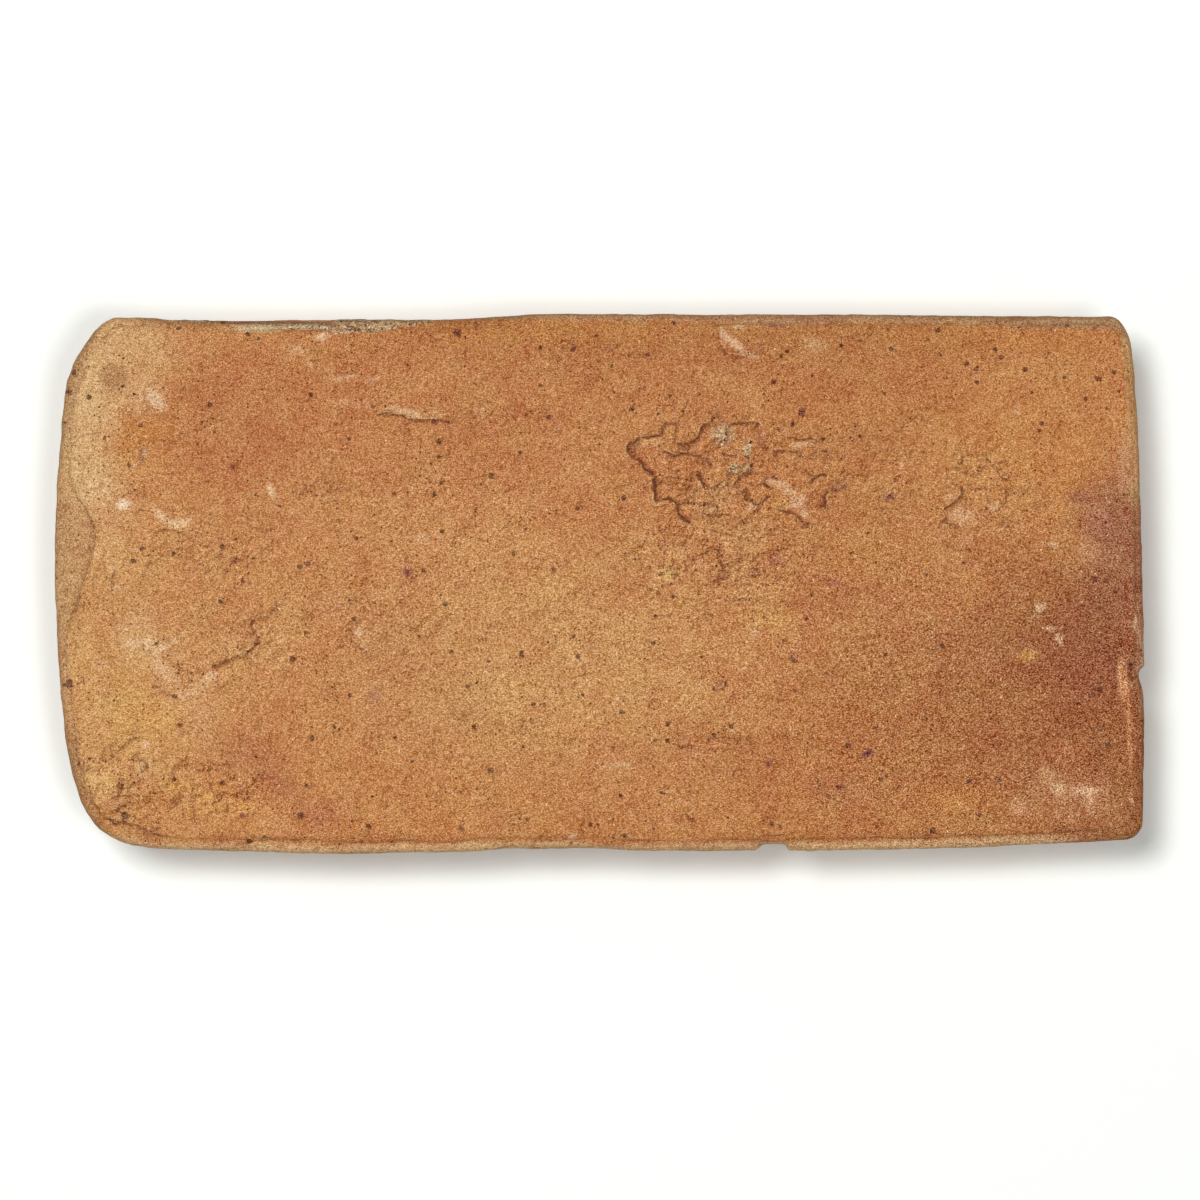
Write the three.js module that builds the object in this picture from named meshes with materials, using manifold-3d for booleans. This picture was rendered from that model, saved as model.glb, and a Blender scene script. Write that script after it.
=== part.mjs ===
// A hand-moulded solid clay brick, lying on its bed. Millimetres, +Z up.
//
// The clay is thrown into a bottomless wooden mould, struck off level and fired, so the brick is one
// piece: a flat bed below, a flat struck face above, and four walls that follow the mould. Striking
// pushes a lip of clay out over the walls, just under the struck face, and a crease divides the lip from
// the face. The west corners are worn round, and the east ones are still close to the mould's. A bruise
// pressed into the soft clay broadens the lip in the middle of the west end.
//
// The origin is the middle of the overall box, at the bed. +X runs east along the length, and +Y runs
// north across the width.

import * as THREE from "three";
import { mergeVertices } from "three/addons/utils/BufferGeometryUtils.js";
import Module from "manifold-3d";

// ---- Overall size, measured over the lip ----

const LENGTH = 220;
const WIDTH = 108.7;
const THICKNESS = 50;

// ---- Plan of the lip, anticlockwise seen from above ----

// Each side bows out to the overall box. Its two ends fall short of the box by these insets.
const SOUTH_SIDE = { startInset: 0.9, endInset: 2.7 };
const EAST_SIDE = { startInset: 0.2, endInset: 1.7 };
const NORTH_SIDE = { startInset: 0.3, endInset: 0.4 };
const WEST_SIDE = { startInset: 1.8, endInset: 1.2 };

// Each corner is as long as its reach along the side before it and along the side after it, measured
// from the corner of the box. Fullness is 0.55 for a quarter of an ellipse, less for a corner worn flat
// and more for a square one.
const SOUTH_EAST_CORNER = { reachBefore: 4.5, reachAfter: 6.3, fullness: 0.58 };
const NORTH_EAST_CORNER = { reachBefore: 14.5, reachAfter: 7.5, fullness: 0.72 };
const NORTH_WEST_CORNER = { reachBefore: 12.5, reachAfter: 16, fullness: 0.45 };
const SOUTH_WEST_CORNER = { reachBefore: 30.5, reachAfter: 21.5, fullness: 0.82 };

// ---- Section ----

// How far the walls stand in under the lip, and how far the struck face's edge stands in from it.
const WALL_INSET = { south: 1.5, east: 0.8, north: 0.8, west: 2.4 };
const FACE_INSET = { south: 2.2, east: 1.6, north: 1.9, west: 2 };

const BED_ARRIS_RADIUS = 2.6; // round along the foot of the walls
const FACE_ARRIS_RADIUS = 0.9; // round along the edge of the struck face
const CREASE_DEPTH = 1.1; // from the struck face down to the crease behind the lip
const LIP_DEPTH = 3.2; // from the struck face down to the lip's widest line
const LIP_ROOT_DEPTH = 8.5; // from the struck face down to where the lip grows out of the wall

// The walls wave a little along their length, because the clot of clay doesn't fill the mould evenly.
const WALL_WAVE = 0.45;
const WALL_WAVE_COUNT = 7;
const WALL_WAVE_TWIST = 0.35; // share of a wave that the pattern turns by, between bed and lip

// ---- Damage ----

// Where the west end was pressed while the clay was soft, the face's edge stands further in by this
// width, which fades out over a reach to the south and a shorter one to the north.
const WEST_BRUISE = { fromSouth: 64, width: 6, reachSouth: 24, reachNorth: 14 };
// A piece knocked out of the south lip. Its west end slopes and its east end is steep.
const SOUTH_CHIP = { fromEast: 75.1, length: 6.3, depth: 1.6, slope: 1.8 };
// A nick in the east lip.
const EAST_CHIP = { fromSouth: 36.1, length: 2.6, depth: 0.9, slope: 0.9 };
// The north lip is worn away in a long shallow hollow, where mortar has been knocked off.
const NORTH_WEAR = { fromWest: 54, length: 76, depth: 1.3, height: 6.8 };

// A flake of skin torn off the struck face. The outline goes anticlockwise from the west tip, measured
// from the flake's middle.
const FLAKE = { fromEast: 81, fromNorth: 28.5, depth: 0.9, slope: 0.7 };
const FLAKE_OUTLINE = [
  [-23.5, 4.5],
  [-18.5, 0.5],
  [-16.5, -5],
  [-11.5, -9.5],
  [-7, -7.5],
  [-1.5, -8.5],
  [6.5, -9.5],
  [11.5, -12.5],
  [15.5, -9],
  [20.5, -6.5],
  [18.5, -3],
  [9, 0],
  [7.5, 6.5],
  [2, 8.5],
  [-3.5, 11],
  [-9, 9],
  [-15, 8.5],
  [-17.5, 6],
];

// ---- Resolution ----

const CURVE_DIVISIONS = 15; // for each of the eight curves of the plan
const ARRIS_STEPS = 4;
const LIP_STEPS = 5;
const WALL_STEPS = 5;
const WEAR_AROUND = 32;
const WEAR_RINGS = 12;

const MERGE_DISTANCE = 1e-3;
const CUT_MARGIN = 4; // how far a cutting tool runs on past the surface that it cuts

const halfLength = LENGTH / 2;
const halfWidth = WIDTH / 2;
const lerp = THREE.MathUtils.lerp;

// ---- Plan ----

// The two ends of a bowed side, and the control point of the parabola between them. `outward` is the
// side's normal, `reach` the distance from the origin to the box's side, and `span` half the length of
// that side of the box. The control point lies outside the box by the geometric mean of the two end
// insets, and that makes the parabola touch the box once.
function bowedSide(outward, reach, span, { startInset, endInset }, cornerBefore, cornerAfter) {
  const along = new THREE.Vector2(-outward.y, outward.x);
  const at = (distance, inset) =>
    along.clone().multiplyScalar(distance).addScaledVector(outward, reach - inset);
  const start = -span + cornerBefore.reachAfter;
  const end = span - cornerAfter.reachBefore;
  return {
    start: at(start, startInset),
    control: at((start + end) / 2, -Math.sqrt(startInset * endInset)),
    end: at(end, endInset),
  };
}

// Where the line from `a` through `b` meets the line from `d` through `c`.
function crossing(a, b, c, d) {
  const u = b.clone().sub(a);
  const v = c.clone().sub(d);
  const share = d.clone().sub(a).cross(v) / u.cross(v);
  return a.clone().addScaledVector(u, share);
}

// The lip's outline as points, anticlockwise from the west end of the south side. Sides are parabolas,
// and corners are cubics that leave each side along its own tangent.
function lipOutline() {
  const south = new THREE.Vector2(0, -1);
  const east = new THREE.Vector2(1, 0);
  const north = new THREE.Vector2(0, 1);
  const west = new THREE.Vector2(-1, 0);
  const corners = [SOUTH_EAST_CORNER, NORTH_EAST_CORNER, NORTH_WEST_CORNER, SOUTH_WEST_CORNER];
  const sides = [
    bowedSide(south, halfWidth, halfLength, SOUTH_SIDE, SOUTH_WEST_CORNER, SOUTH_EAST_CORNER),
    bowedSide(east, halfLength, halfWidth, EAST_SIDE, SOUTH_EAST_CORNER, NORTH_EAST_CORNER),
    bowedSide(north, halfWidth, halfLength, NORTH_SIDE, NORTH_EAST_CORNER, NORTH_WEST_CORNER),
    bowedSide(west, halfLength, halfWidth, WEST_SIDE, NORTH_WEST_CORNER, SOUTH_WEST_CORNER),
  ];
  const path = new THREE.Path();
  path.moveTo(sides[0].start.x, sides[0].start.y);
  sides.forEach((side, i) => {
    const next = sides[(i + 1) % sides.length];
    const corner = crossing(side.control, side.end, next.start, next.control);
    const leave = side.end.clone().lerp(corner, corners[i].fullness);
    const arrive = next.start.clone().lerp(corner, corners[i].fullness);
    path.quadraticCurveTo(side.control.x, side.control.y, side.end.x, side.end.y);
    path.bezierCurveTo(leave.x, leave.y, arrive.x, arrive.y, next.start.x, next.start.y);
  });
  const points = path.getPoints(CURVE_DIVISIONS);
  points.pop(); // the last point repeats the first
  return points;
}

// ---- Section ----

// One level of the section, at height `z`. It takes the given shares of the wall's inset and of the
// face's inset, a further inset `round` on every side, and a share of the wall's wave.
function level(z, { wall = 0, face = 0, round = 0, wave = 0, turn = 0 }) {
  return { z, wall, face, round, wave, turn };
}

// The levels from bed to struck face.
function levels() {
  const list = [];
  const lipRoot = THICKNESS - LIP_ROOT_DEPTH;
  const lip = THICKNESS - LIP_DEPTH;
  const crease = THICKNESS - CREASE_DEPTH;
  for (let i = 0; i <= ARRIS_STEPS; i++) {
    const angle = ((i / ARRIS_STEPS) * Math.PI) / 2;
    const round = BED_ARRIS_RADIUS * (1 - Math.sin(angle));
    list.push(level(BED_ARRIS_RADIUS * (1 - Math.cos(angle)), { wall: 1, round }));
  }
  for (let i = 1; i <= WALL_STEPS; i++) {
    const turn = i / WALL_STEPS;
    const wave = Math.sin(Math.PI * turn);
    list.push(level(lerp(BED_ARRIS_RADIUS, lipRoot, turn), { wall: 1, wave, turn }));
  }
  // The lip swells out of the wall in a fair curve, and rounds over as a quarter ellipse to the crease.
  for (let i = 1; i <= LIP_STEPS; i++) {
    const rise = i / LIP_STEPS;
    const wall = 1 - THREE.MathUtils.smoothstep(rise, 0, 1);
    list.push(level(lerp(lipRoot, lip, rise), { wall }));
  }
  for (let i = 1; i <= LIP_STEPS; i++) {
    const angle = ((i / LIP_STEPS) * Math.PI) / 2;
    list.push(level(lerp(lip, crease, Math.sin(angle)), { face: 1 - Math.cos(angle) }));
  }
  for (let i = 1; i <= ARRIS_STEPS; i++) {
    const angle = ((i / ARRIS_STEPS) * Math.PI) / 2;
    const round = FACE_ARRIS_RADIUS * (1 - Math.cos(angle));
    list.push(level(lerp(crease, THICKNESS, Math.sin(angle)), { face: 1, round }));
  }
  return list;
}

// How far the bruise draws in the west edge of the face, `y` along that side.
function bruiseAt(y) {
  const past = y - (WEST_BRUISE.fromSouth - halfWidth);
  const reach = past < 0 ? WEST_BRUISE.reachSouth : WEST_BRUISE.reachNorth;
  return WEST_BRUISE.width * (1 - THREE.MathUtils.smoothstep(Math.abs(past), 0, reach));
}

// The lip's outline drawn in to one level. A point gives way by each side's inset in proportion to how
// near that side it lies, so the ring keeps the outline's form.
function ringAt(outline, { z, wall, face, round, wave, turn }) {
  return outline.map((point, i) => {
    const around = i / outline.length + (turn * WALL_WAVE_TWIST) / WALL_WAVE_COUNT;
    const swell = WALL_WAVE * wave * Math.sin(2 * Math.PI * WALL_WAVE_COUNT * around);
    const faceInset = { ...FACE_INSET, west: FACE_INSET.west + bruiseAt(point.y) };
    const inset = (side) => wall * WALL_INSET[side] + face * faceInset[side] + round + swell;
    const eastShare = (1 + point.x / halfLength) / 2;
    const northShare = (1 + point.y / halfWidth) / 2;
    return new THREE.Vector3(
      point.x + inset("west") * (1 - eastShare) - inset("east") * eastShare,
      point.y + inset("south") * (1 - northShare) - inset("north") * northShare,
      z,
    );
  });
}

// The triangles of a flat cap over a ring.
function capOf(ring) {
  return THREE.ShapeUtils.triangulateShape(ring.map((p) => new THREE.Vector2(p.x, p.y)), []);
}

// Skins a stack of rings that have as many points each, and closes both ends with flat caps.
function loft(rings) {
  const count = rings[0].length;
  const positions = rings.flat().flatMap((p) => [p.x, p.y, p.z]);
  const indices = [];
  for (let k = 0; k < rings.length - 1; k++) {
    for (let i = 0; i < count; i++) {
      const a = k * count + i;
      const b = k * count + ((i + 1) % count);
      indices.push(a, b, b + count, a, b + count, a + count);
    }
  }
  const last = (rings.length - 1) * count;
  for (const [a, b, c] of capOf(rings[0])) {
    indices.push(a, c, b);
  }
  for (const [a, b, c] of capOf(rings.at(-1))) {
    indices.push(last + a, last + b, last + c);
  }
  return new THREE.BufferGeometry()
    .setAttribute("position", new THREE.Float32BufferAttribute(positions, 3))
    .setIndex(indices);
}

// ---- Cutting tools for the damage ----

// A prism that bites into a lip from outside, and runs from the lip's root up past the struck face. It
// is drawn with the lip's edge along X and the bite towards +Y. One end slopes by `slope`, and the other
// stands three times as steep.
function chipTool({ length, depth, slope }) {
  const half = length / 2;
  const flare = (slope * CUT_MARGIN) / depth;
  const shape = new THREE.Shape([
    new THREE.Vector2(-half - flare, -CUT_MARGIN),
    new THREE.Vector2(half + flare / 3, -CUT_MARGIN),
    new THREE.Vector2(half - slope / 3, depth),
    new THREE.Vector2(-half + slope, depth),
  ]);
  const height = LIP_ROOT_DEPTH + CUT_MARGIN;
  const prism = new THREE.ExtrudeGeometry(shape, { depth: height, bevelEnabled: false });
  return prism.translate(0, 0, THICKNESS - LIP_ROOT_DEPTH);
}

// An ellipsoid that wears a hollow into the north lip. Its middle lies outside the lip, and it is grown
// to meet the lip's widest line over the hollow's length and height.
function wearTool({ length, depth, height }) {
  const reach = depth + CUT_MARGIN;
  const grown = reach / Math.sqrt(reach ** 2 - CUT_MARGIN ** 2);
  return new THREE.SphereGeometry(1, WEAR_AROUND, WEAR_RINGS).scale(
    (length / 2) * grown,
    reach,
    (height / 2) * grown,
  );
}

// A prism with sloping sides that lifts the flake out of the struck face.
function flakeTool() {
  const shape = new THREE.Shape(FLAKE_OUTLINE.map(([x, y]) => new THREE.Vector2(x, y)));
  return new THREE.ExtrudeGeometry(shape, {
    depth: CUT_MARGIN,
    bevelThickness: FLAKE.depth,
    bevelSize: FLAKE.slope,
    bevelOffset: -FLAKE.slope,
    bevelSegments: 1,
  });
}

// ---- Solids ----

const wasm = await Module();
wasm.setup();

// A closed geometry as a manifold-3d solid.
function solidOf(geometry) {
  const bare = new THREE.BufferGeometry()
    .setAttribute("position", geometry.getAttribute("position"))
    .setIndex(geometry.getIndex());
  const merged = mergeVertices(bare, MERGE_DISTANCE);
  return new wasm.Manifold(
    new wasm.Mesh({
      numProp: 3,
      vertProperties: merged.getAttribute("position").array,
      triVerts: new Uint32Array(merged.getIndex().array),
    }),
  );
}

function geometryOf(solid) {
  const mesh = solid.getMesh();
  const geometry = new THREE.BufferGeometry()
    .setAttribute("position", new THREE.BufferAttribute(new Float32Array(mesh.vertProperties), 3))
    .setIndex(new THREE.BufferAttribute(new Uint32Array(mesh.triVerts), 1));
  geometry.computeVertexNormals();
  return geometry;
}

function brickSolid() {
  const outline = lipOutline();
  const body = solidOf(loft(levels().map((each) => ringAt(outline, each))));
  const tools = [
    chipTool(SOUTH_CHIP).translate(halfLength - SOUTH_CHIP.fromEast, -halfWidth, 0),
    chipTool(EAST_CHIP)
      .rotateZ(Math.PI / 2)
      .translate(halfLength, -halfWidth + EAST_CHIP.fromSouth, 0),
    wearTool(NORTH_WEAR).translate(
      -halfLength + NORTH_WEAR.fromWest,
      halfWidth + CUT_MARGIN,
      THICKNESS - LIP_DEPTH,
    ),
    flakeTool().translate(halfLength - FLAKE.fromEast, halfWidth - FLAKE.fromNorth, THICKNESS),
  ];
  return tools.reduce((solid, tool) => solid.subtract(solidOf(tool)), body);
}

// ---- The part ----

const firedClay = new THREE.MeshStandardMaterial({ color: 0xba8153, roughness: 0.92, metalness: 0 });

const brick = new THREE.Mesh(geometryOf(brickSolid()), firedClay);
brick.name = "brick";

const part = new THREE.Group();
part.name = "clay_brick";
part.add(brick);

export default part;
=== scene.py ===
"""A hand-moulded clay brick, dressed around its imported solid.

The brick is one closed skin. Its struck face is a grid drawn over the lip's outline, its sides are a
profile carried round that outline, and its bed is a coarser grid. Relief then moves every point along
its normal, and the same fields colour the fired clay. Sizes are in millimetres until a mesh is made.
"""

import itertools
import logging
import math
from collections.abc import Callable
from dataclasses import dataclass, field, replace
from enum import Enum, IntEnum
from functools import reduce

import bpy
import numpy as np
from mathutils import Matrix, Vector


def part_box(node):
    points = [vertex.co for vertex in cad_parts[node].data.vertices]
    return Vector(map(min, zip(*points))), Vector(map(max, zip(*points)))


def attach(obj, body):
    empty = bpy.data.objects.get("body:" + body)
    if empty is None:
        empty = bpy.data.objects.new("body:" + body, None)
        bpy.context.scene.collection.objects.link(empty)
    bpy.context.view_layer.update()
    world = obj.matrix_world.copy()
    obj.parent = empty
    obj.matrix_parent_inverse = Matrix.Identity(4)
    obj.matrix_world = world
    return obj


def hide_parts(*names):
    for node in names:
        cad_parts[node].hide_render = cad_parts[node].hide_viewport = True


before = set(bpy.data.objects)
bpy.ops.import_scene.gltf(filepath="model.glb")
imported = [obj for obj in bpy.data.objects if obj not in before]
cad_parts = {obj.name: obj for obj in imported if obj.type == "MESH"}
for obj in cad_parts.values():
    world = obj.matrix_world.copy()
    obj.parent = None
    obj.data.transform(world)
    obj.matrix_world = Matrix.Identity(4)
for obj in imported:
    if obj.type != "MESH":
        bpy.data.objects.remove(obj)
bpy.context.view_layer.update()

MM = 0.001
GOLDEN = 0.618  # the golden ratio's lesser part, whose multiples spread evenly
VIEW_PIXELS = 1200  # the view's width
LIP_PIXELS = 1088  # the lip's length in the view
CENTRE_PIXELS = -16.5  # how far north of the brick's middle the view's middle lies
OCTAVE_SWING = 0.9  # how far the sum of a noise's octaves swings
WARP_SEEDS = 7  # how far apart the seeds of a warp's three fields lie
CELL_PRIMES = (73856093, 19349663, 83492791)  # these and the next three spread neighbours apart
SEED_PRIME = 668265263
MIXING_PRIMES = (1274126177, 2246822519)

log = logging.getLogger("clay_brick")

Array = np.ndarray
Tone = tuple[int, int, int]
Pair = tuple[float, float]
Triple = tuple[float, float, float]
Size = float | Triple


# ---- Plain helpers ----


def smooth_rise(low: float, high: float, values: Array) -> Array:
    """A fair rise from 0 at `low` to 1 at `high`, or a fall where `high` is less: 3t^2 - 2t^3 of share t."""
    share = np.clip((values - low) / (high - low), 0, 1)
    return share * share * (3 - 2 * share)


def blend(first: Array, second: Array, share: Array) -> Array:
    """`first` where the share is 0, `second` where it is 1, and straight mixing between."""
    return first + (second - first) * share


def terraced(ledge: Array, count: float, front: Pair) -> Array:
    """A field of `count` steps to one, cut into level steps with steep fronts, less the field itself."""
    return (smooth_rise(*front, ledge % 1) - ledge % 1) / count


def fired(red: int, green: int, blue: int) -> Array:
    """A display colour of three levels up to 255 as the linear light that a shader works in."""
    level = np.array([red, green, blue]) / 255
    return np.where(level <= 0.04045, level / 12.92, ((level + 0.055) / 1.055) ** 2.4)


@dataclass(frozen=True)
class Wave:
    """A smooth random field that comes out the same on every run, by its height and size in millimetres."""

    seed: int
    height: float
    size: Size
    octaves: int = 3
    gain: float = 0.5

    def lattice(self, cell: Array, seed: int) -> Array:
        """A random value from -1 to 1 for each whole-numbered cell, by mixing the bits of its place.

        Args:
            cell: Cell numbers, three to a row.
            seed: The octave's seed.

        Returns:
            One value for each row.
        """
        mixed = reduce(np.bitwise_xor, (cell[..., k] * prime for k, prime in enumerate(CELL_PRIMES)))
        mixed = (mixed ^ seed * SEED_PRIME) * MIXING_PRIMES[0]
        mixed = (mixed ^ (mixed >> 15)) * MIXING_PRIMES[1]
        return ((mixed ^ (mixed >> 13)) & 0xFFFF) / 32767.5 - 1

    def octave(self, places: Array, number: int) -> Array:
        """One octave: the lattice values of the eight cells round a place, mixed by quintic shares.

        Args:
            places: In millimetres, three to a row.
            number: The octave's number. Each has half the size of the one before.

        Returns:
            A value from -1 to 1 for each place.
        """
        scaled = places / (np.asarray(self.size) / 2**number)
        cell = np.floor(scaled).astype(np.int64)
        share = scaled - cell
        share = share**3 * (share * (share * 6 - 15) + 10)
        total = np.zeros(places.shape[:-1])
        for step in itertools.product((0, 1), repeat=3):
            corner = np.array(step)
            weight = np.prod(np.where(corner, share, 1 - share), axis=-1)
            total += weight * self.lattice(cell + corner, self.seed + number)
        return total

    def at(self, places: Array) -> Array:
        """Octaves of `gain` times the height of the one before each, scaled back to about the height.

        Args:
            places: In millimetres, three to a row.

        Returns:
            A value for each place.
        """
        heights = [self.gain**number for number in range(self.octaves)]
        total = sum(height * self.octave(places, number) for number, height in enumerate(heights))
        return self.height * (total / math.hypot(*heights) * OCTAVE_SWING)

    def warp(self, places: Array) -> Array:
        """The places pushed about by the noise, so that what is drawn at them gets a ragged edge."""
        push = [replace(self, seed=self.seed + WARP_SEEDS * k, height=1).at(places) for k in range(3)]
        return places + self.height * np.stack(push, axis=-1)


# ---- The brick's plan and section ----


class Way(IntEnum):
    """A side of the brick, anticlockwise."""

    SOUTH = 0
    EAST = 1
    NORTH = 2
    WEST = 3

    @property
    def across(self) -> int:
        """The column of a place that runs square to this side: 0 for x, 1 for y."""
        return 0 if self in (Way.EAST, Way.WEST) else 1

    @property
    def outward(self) -> int:
        """The sign of that column on the way out of the brick."""
        return 1 if self in (Way.EAST, Way.NORTH) else -1

    def turned(self, quarters: int) -> "Way":
        """The side so many quarter turns further round."""
        return Way((self + quarters) % len(Way))


@dataclass(frozen=True)
class Side:
    """A bowed side of the plan, by how far its two ends fall short of the overall box."""

    start_inset: float
    end_inset: float


@dataclass(frozen=True)
class Corner:
    """A corner of the plan, by its reach along both sides and its fullness, 0.55 for a quarter round."""

    reach_before: float
    reach_after: float
    fullness: float


@dataclass(frozen=True)
class Plan:
    """The lip's outline, anticlockwise from the south side: bowed sides and cubic corners."""

    length: float
    width: float
    sides: tuple[Side, ...] = (Side(0.9, 2.7), Side(0.2, 1.7), Side(0.3, 0.4), Side(1.8, 1.2))
    corners: tuple[Corner, ...] = (
        Corner(4.5, 6.3, 0.58), Corner(14.5, 7.5, 0.72), Corner(12.5, 16, 0.45), Corner(30.5, 21.5, 0.82)
    )
    fineness: int = 200

    def bow(self, way: Way) -> Array:
        """The start, control point and end of one side's parabola.

        The control point lies outside the box by the geometric mean of the end insets, which makes
        the parabola touch the box once.

        Args:
            way: The side.

        Returns:
            Three points in rows.
        """
        outward = np.zeros(2)
        outward[way.across] = way.outward
        along = np.array([-outward[1], outward[0]])
        reach, span = (self.width, self.length) if way.across else (self.length, self.width)
        side = self.sides[way]
        start = -span / 2 + self.corners[way - 1].reach_after
        end = span / 2 - self.corners[way].reach_before
        bulge = math.sqrt(side.start_inset * side.end_inset)
        distances = np.array([start, (start + end) / 2, end])
        insets = np.array([side.start_inset, -bulge, side.end_inset])
        return distances[:, None] * along + (reach / 2 - insets)[:, None] * outward

    def side_curve(self, way: Way) -> Array:
        """Points along one side: (1-t)^2 start + 2t(1-t) control + t^2 end.

        Args:
            way: The side.

        Returns:
            Points in rows.
        """
        start, control, end = self.bow(way)
        t = np.linspace(0, 1, self.fineness)[:, None]
        return (1 - t) ** 2 * start + 2 * t * (1 - t) * control + t**2 * end

    def corner_curve(self, way: Way) -> Array:
        """Points round the corner after one side, a cubic that leaves both sides along their tangents.

        Args:
            way: The side that the corner follows.

        Returns:
            Points in rows.
        """
        _, before, start = self.bow(way)
        end, after, _ = self.bow(way.turned(1))
        u, v, gap = start - before, end - after, end - start
        share = (gap[0] * v[1] - gap[1] * v[0]) / (u[0] * v[1] - u[1] * v[0])
        meeting = start + u * share
        leave = blend(start, meeting, self.corners[way].fullness)
        arrive = blend(end, meeting, self.corners[way].fullness)
        t = np.linspace(0, 1, self.fineness)[:, None]
        head = (1 - t) ** 3 * start + 3 * t * (1 - t) ** 2 * leave
        return head + 3 * t**2 * (1 - t) * arrive + t**3 * end

    def edge(self, way: Way, shares: Array) -> Array:
        """Points at shares of the way from the middle of one corner to the middle of the next.

        Args:
            way: The side between the two corners.
            shares: Shares of the length of the curve, from 0 to 1.

        Returns:
            Points in rows.
        """
        half = self.fineness // 2
        before, after = self.corner_curve(way.turned(-1)), self.corner_curve(way)
        curve = np.vstack([before[half:], self.side_curve(way)[1:-1], after[: half + 1]])
        travelled = np.append(0, np.cumsum(np.linalg.norm(np.diff(curve, axis=0), axis=1)))
        wanted = shares * travelled[-1]
        return np.stack([np.interp(wanted, travelled, curve[:, k]) for k in (0, 1)], axis=1)

    def insets(self, places: Array) -> Array:
        """How far each place lies inside each side, read straight across to that side's curve.

        Args:
            places: In millimetres.

        Returns:
            Four rows: south, east, north and west.
        """
        shares = np.linspace(0, 1, self.fineness)
        rows = []
        for way in Way:
            curve = self.edge(way, shares)
            along = 1 - way.across
            order = np.argsort(curve[:, along])
            line = np.interp(places[:, along], curve[order, along], curve[order, way.across])
            rows.append(way.outward * (line - places[:, way.across]))
        return np.array(rows)


@dataclass(frozen=True)
class Bruise:
    """Where the west end was pressed while soft, so the face's edge stands further in."""

    middle: float = 9.65
    width: float = 6.0
    reach_south: float = 24.0
    reach_north: float = 14.0

    def depth(self, y: Array) -> Array:
        """How far it draws the edge in: `width` at the middle, fading over each reach."""
        reach = np.where(y < self.middle, self.reach_south, self.reach_north)
        return self.width * smooth_rise(1, 0, np.abs(y - self.middle) / reach)


@dataclass(frozen=True)
class Section:
    """The profile of the sides, from the struck face down to the bed."""

    thickness: float
    wall_inset: tuple[float, ...] = (1.5, 0.8, 0.8, 2.4)
    face_inset: tuple[float, ...] = (2.2, 1.6, 1.9, 2.0)
    bruise: Bruise = Bruise()
    bed_arris: float = 2.6
    face_arris: float = 0.9
    crease_depth: float = 1.1
    lip_depth: float = 3.2
    root_depth: float = 8.5
    arris_rows: int = 3
    round_rows: int = 6
    root_rows: int = 5
    wall_rows: int = 22
    lip_swing: Wave = Wave(11, 0.45, 24)
    face_swing: Wave = Wave(12, 0.22, 16, 4)

    def rows(self) -> dict[str, Array]:
        """Each row's height and its shares of the insets, from just under the struck face to the bed.

        Returns:
            Arrays by name: z, wall, face and round.
        """
        top = self.thickness
        crease, lip, root = top - self.crease_depth, top - self.lip_depth, top - self.root_depth
        counts = (self.arris_rows, self.round_rows, self.root_rows, self.wall_rows)
        arris, rounding, fall, drop = (np.arange(1, count + 1) / count for count in counts)
        foot = arris * math.pi / 2
        arris, rounding = (1 - arris) * math.pi / 2, (1 - rounding) * math.pi / 2
        parts = [
            (blend(crease, top, np.sin(arris)), 0, 1, self.face_arris * (1 - np.cos(arris))),
            (blend(lip, crease, np.sin(rounding)), 0, 1 - np.cos(rounding), 0),
            (blend(lip, root, fall), smooth_rise(0, 1, fall), 0, 0),
            (blend(root, self.bed_arris, drop), 1, 0, 0),
            (self.bed_arris * (1 - np.sin(foot)), 1, 0, self.bed_arris * (1 - np.cos(foot))),
        ]
        names = ("z", "wall", "face", "round")
        joined = [np.concatenate([np.broadcast_to(p[k], p[0].shape) for p in parts]) for k in range(4)]
        return dict(zip(names, joined))

    def drawn_in(self, outline: Array, plan: Plan, wall: Array, face: Array, round_in: Array) -> Array:
        """The outline drawn in to given shares of the insets.

        A point gives way by each side's inset in proportion to how near that side it lies. The west
        inset grows over a bevel bruised into the middle of that end.

        Args:
            outline: Points of the lip in rows.
            plan: The plan that they belong to.
            wall: Share of the wall's inset for each level.
            face: Share of the face's inset for each level.
            round_in: Further inset for each level.

        Returns:
            An array of levels by points by two.
        """
        east = (1 + outline[:, 0] / (plan.length / 2)) / 2
        north = (1 + outline[:, 1] / (plan.width / 2)) / 2
        bevel = self.bruise.depth(outline[:, 1])
        level = np.column_stack([outline, np.zeros(len(outline))])
        wall_swing, face_swing = (1 + swing.at(level) for swing in (self.lip_swing, self.face_swing))

        def inset(way: Way) -> Array:
            """How far one side is drawn in, in rows of levels."""
            face_width = np.outer(face, self.face_inset[way] * face_swing + (way == Way.WEST) * bevel)
            return np.outer(wall, self.wall_inset[way] * wall_swing) + face_width + round_in[:, None]

        x = outline[:, 0] + inset(Way.WEST) * (1 - east) - inset(Way.EAST) * east
        y = outline[:, 1] + inset(Way.SOUTH) * (1 - north) - inset(Way.NORTH) * north
        return np.stack([x, y], axis=-1)


# ---- Marks in the clay ----


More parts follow.
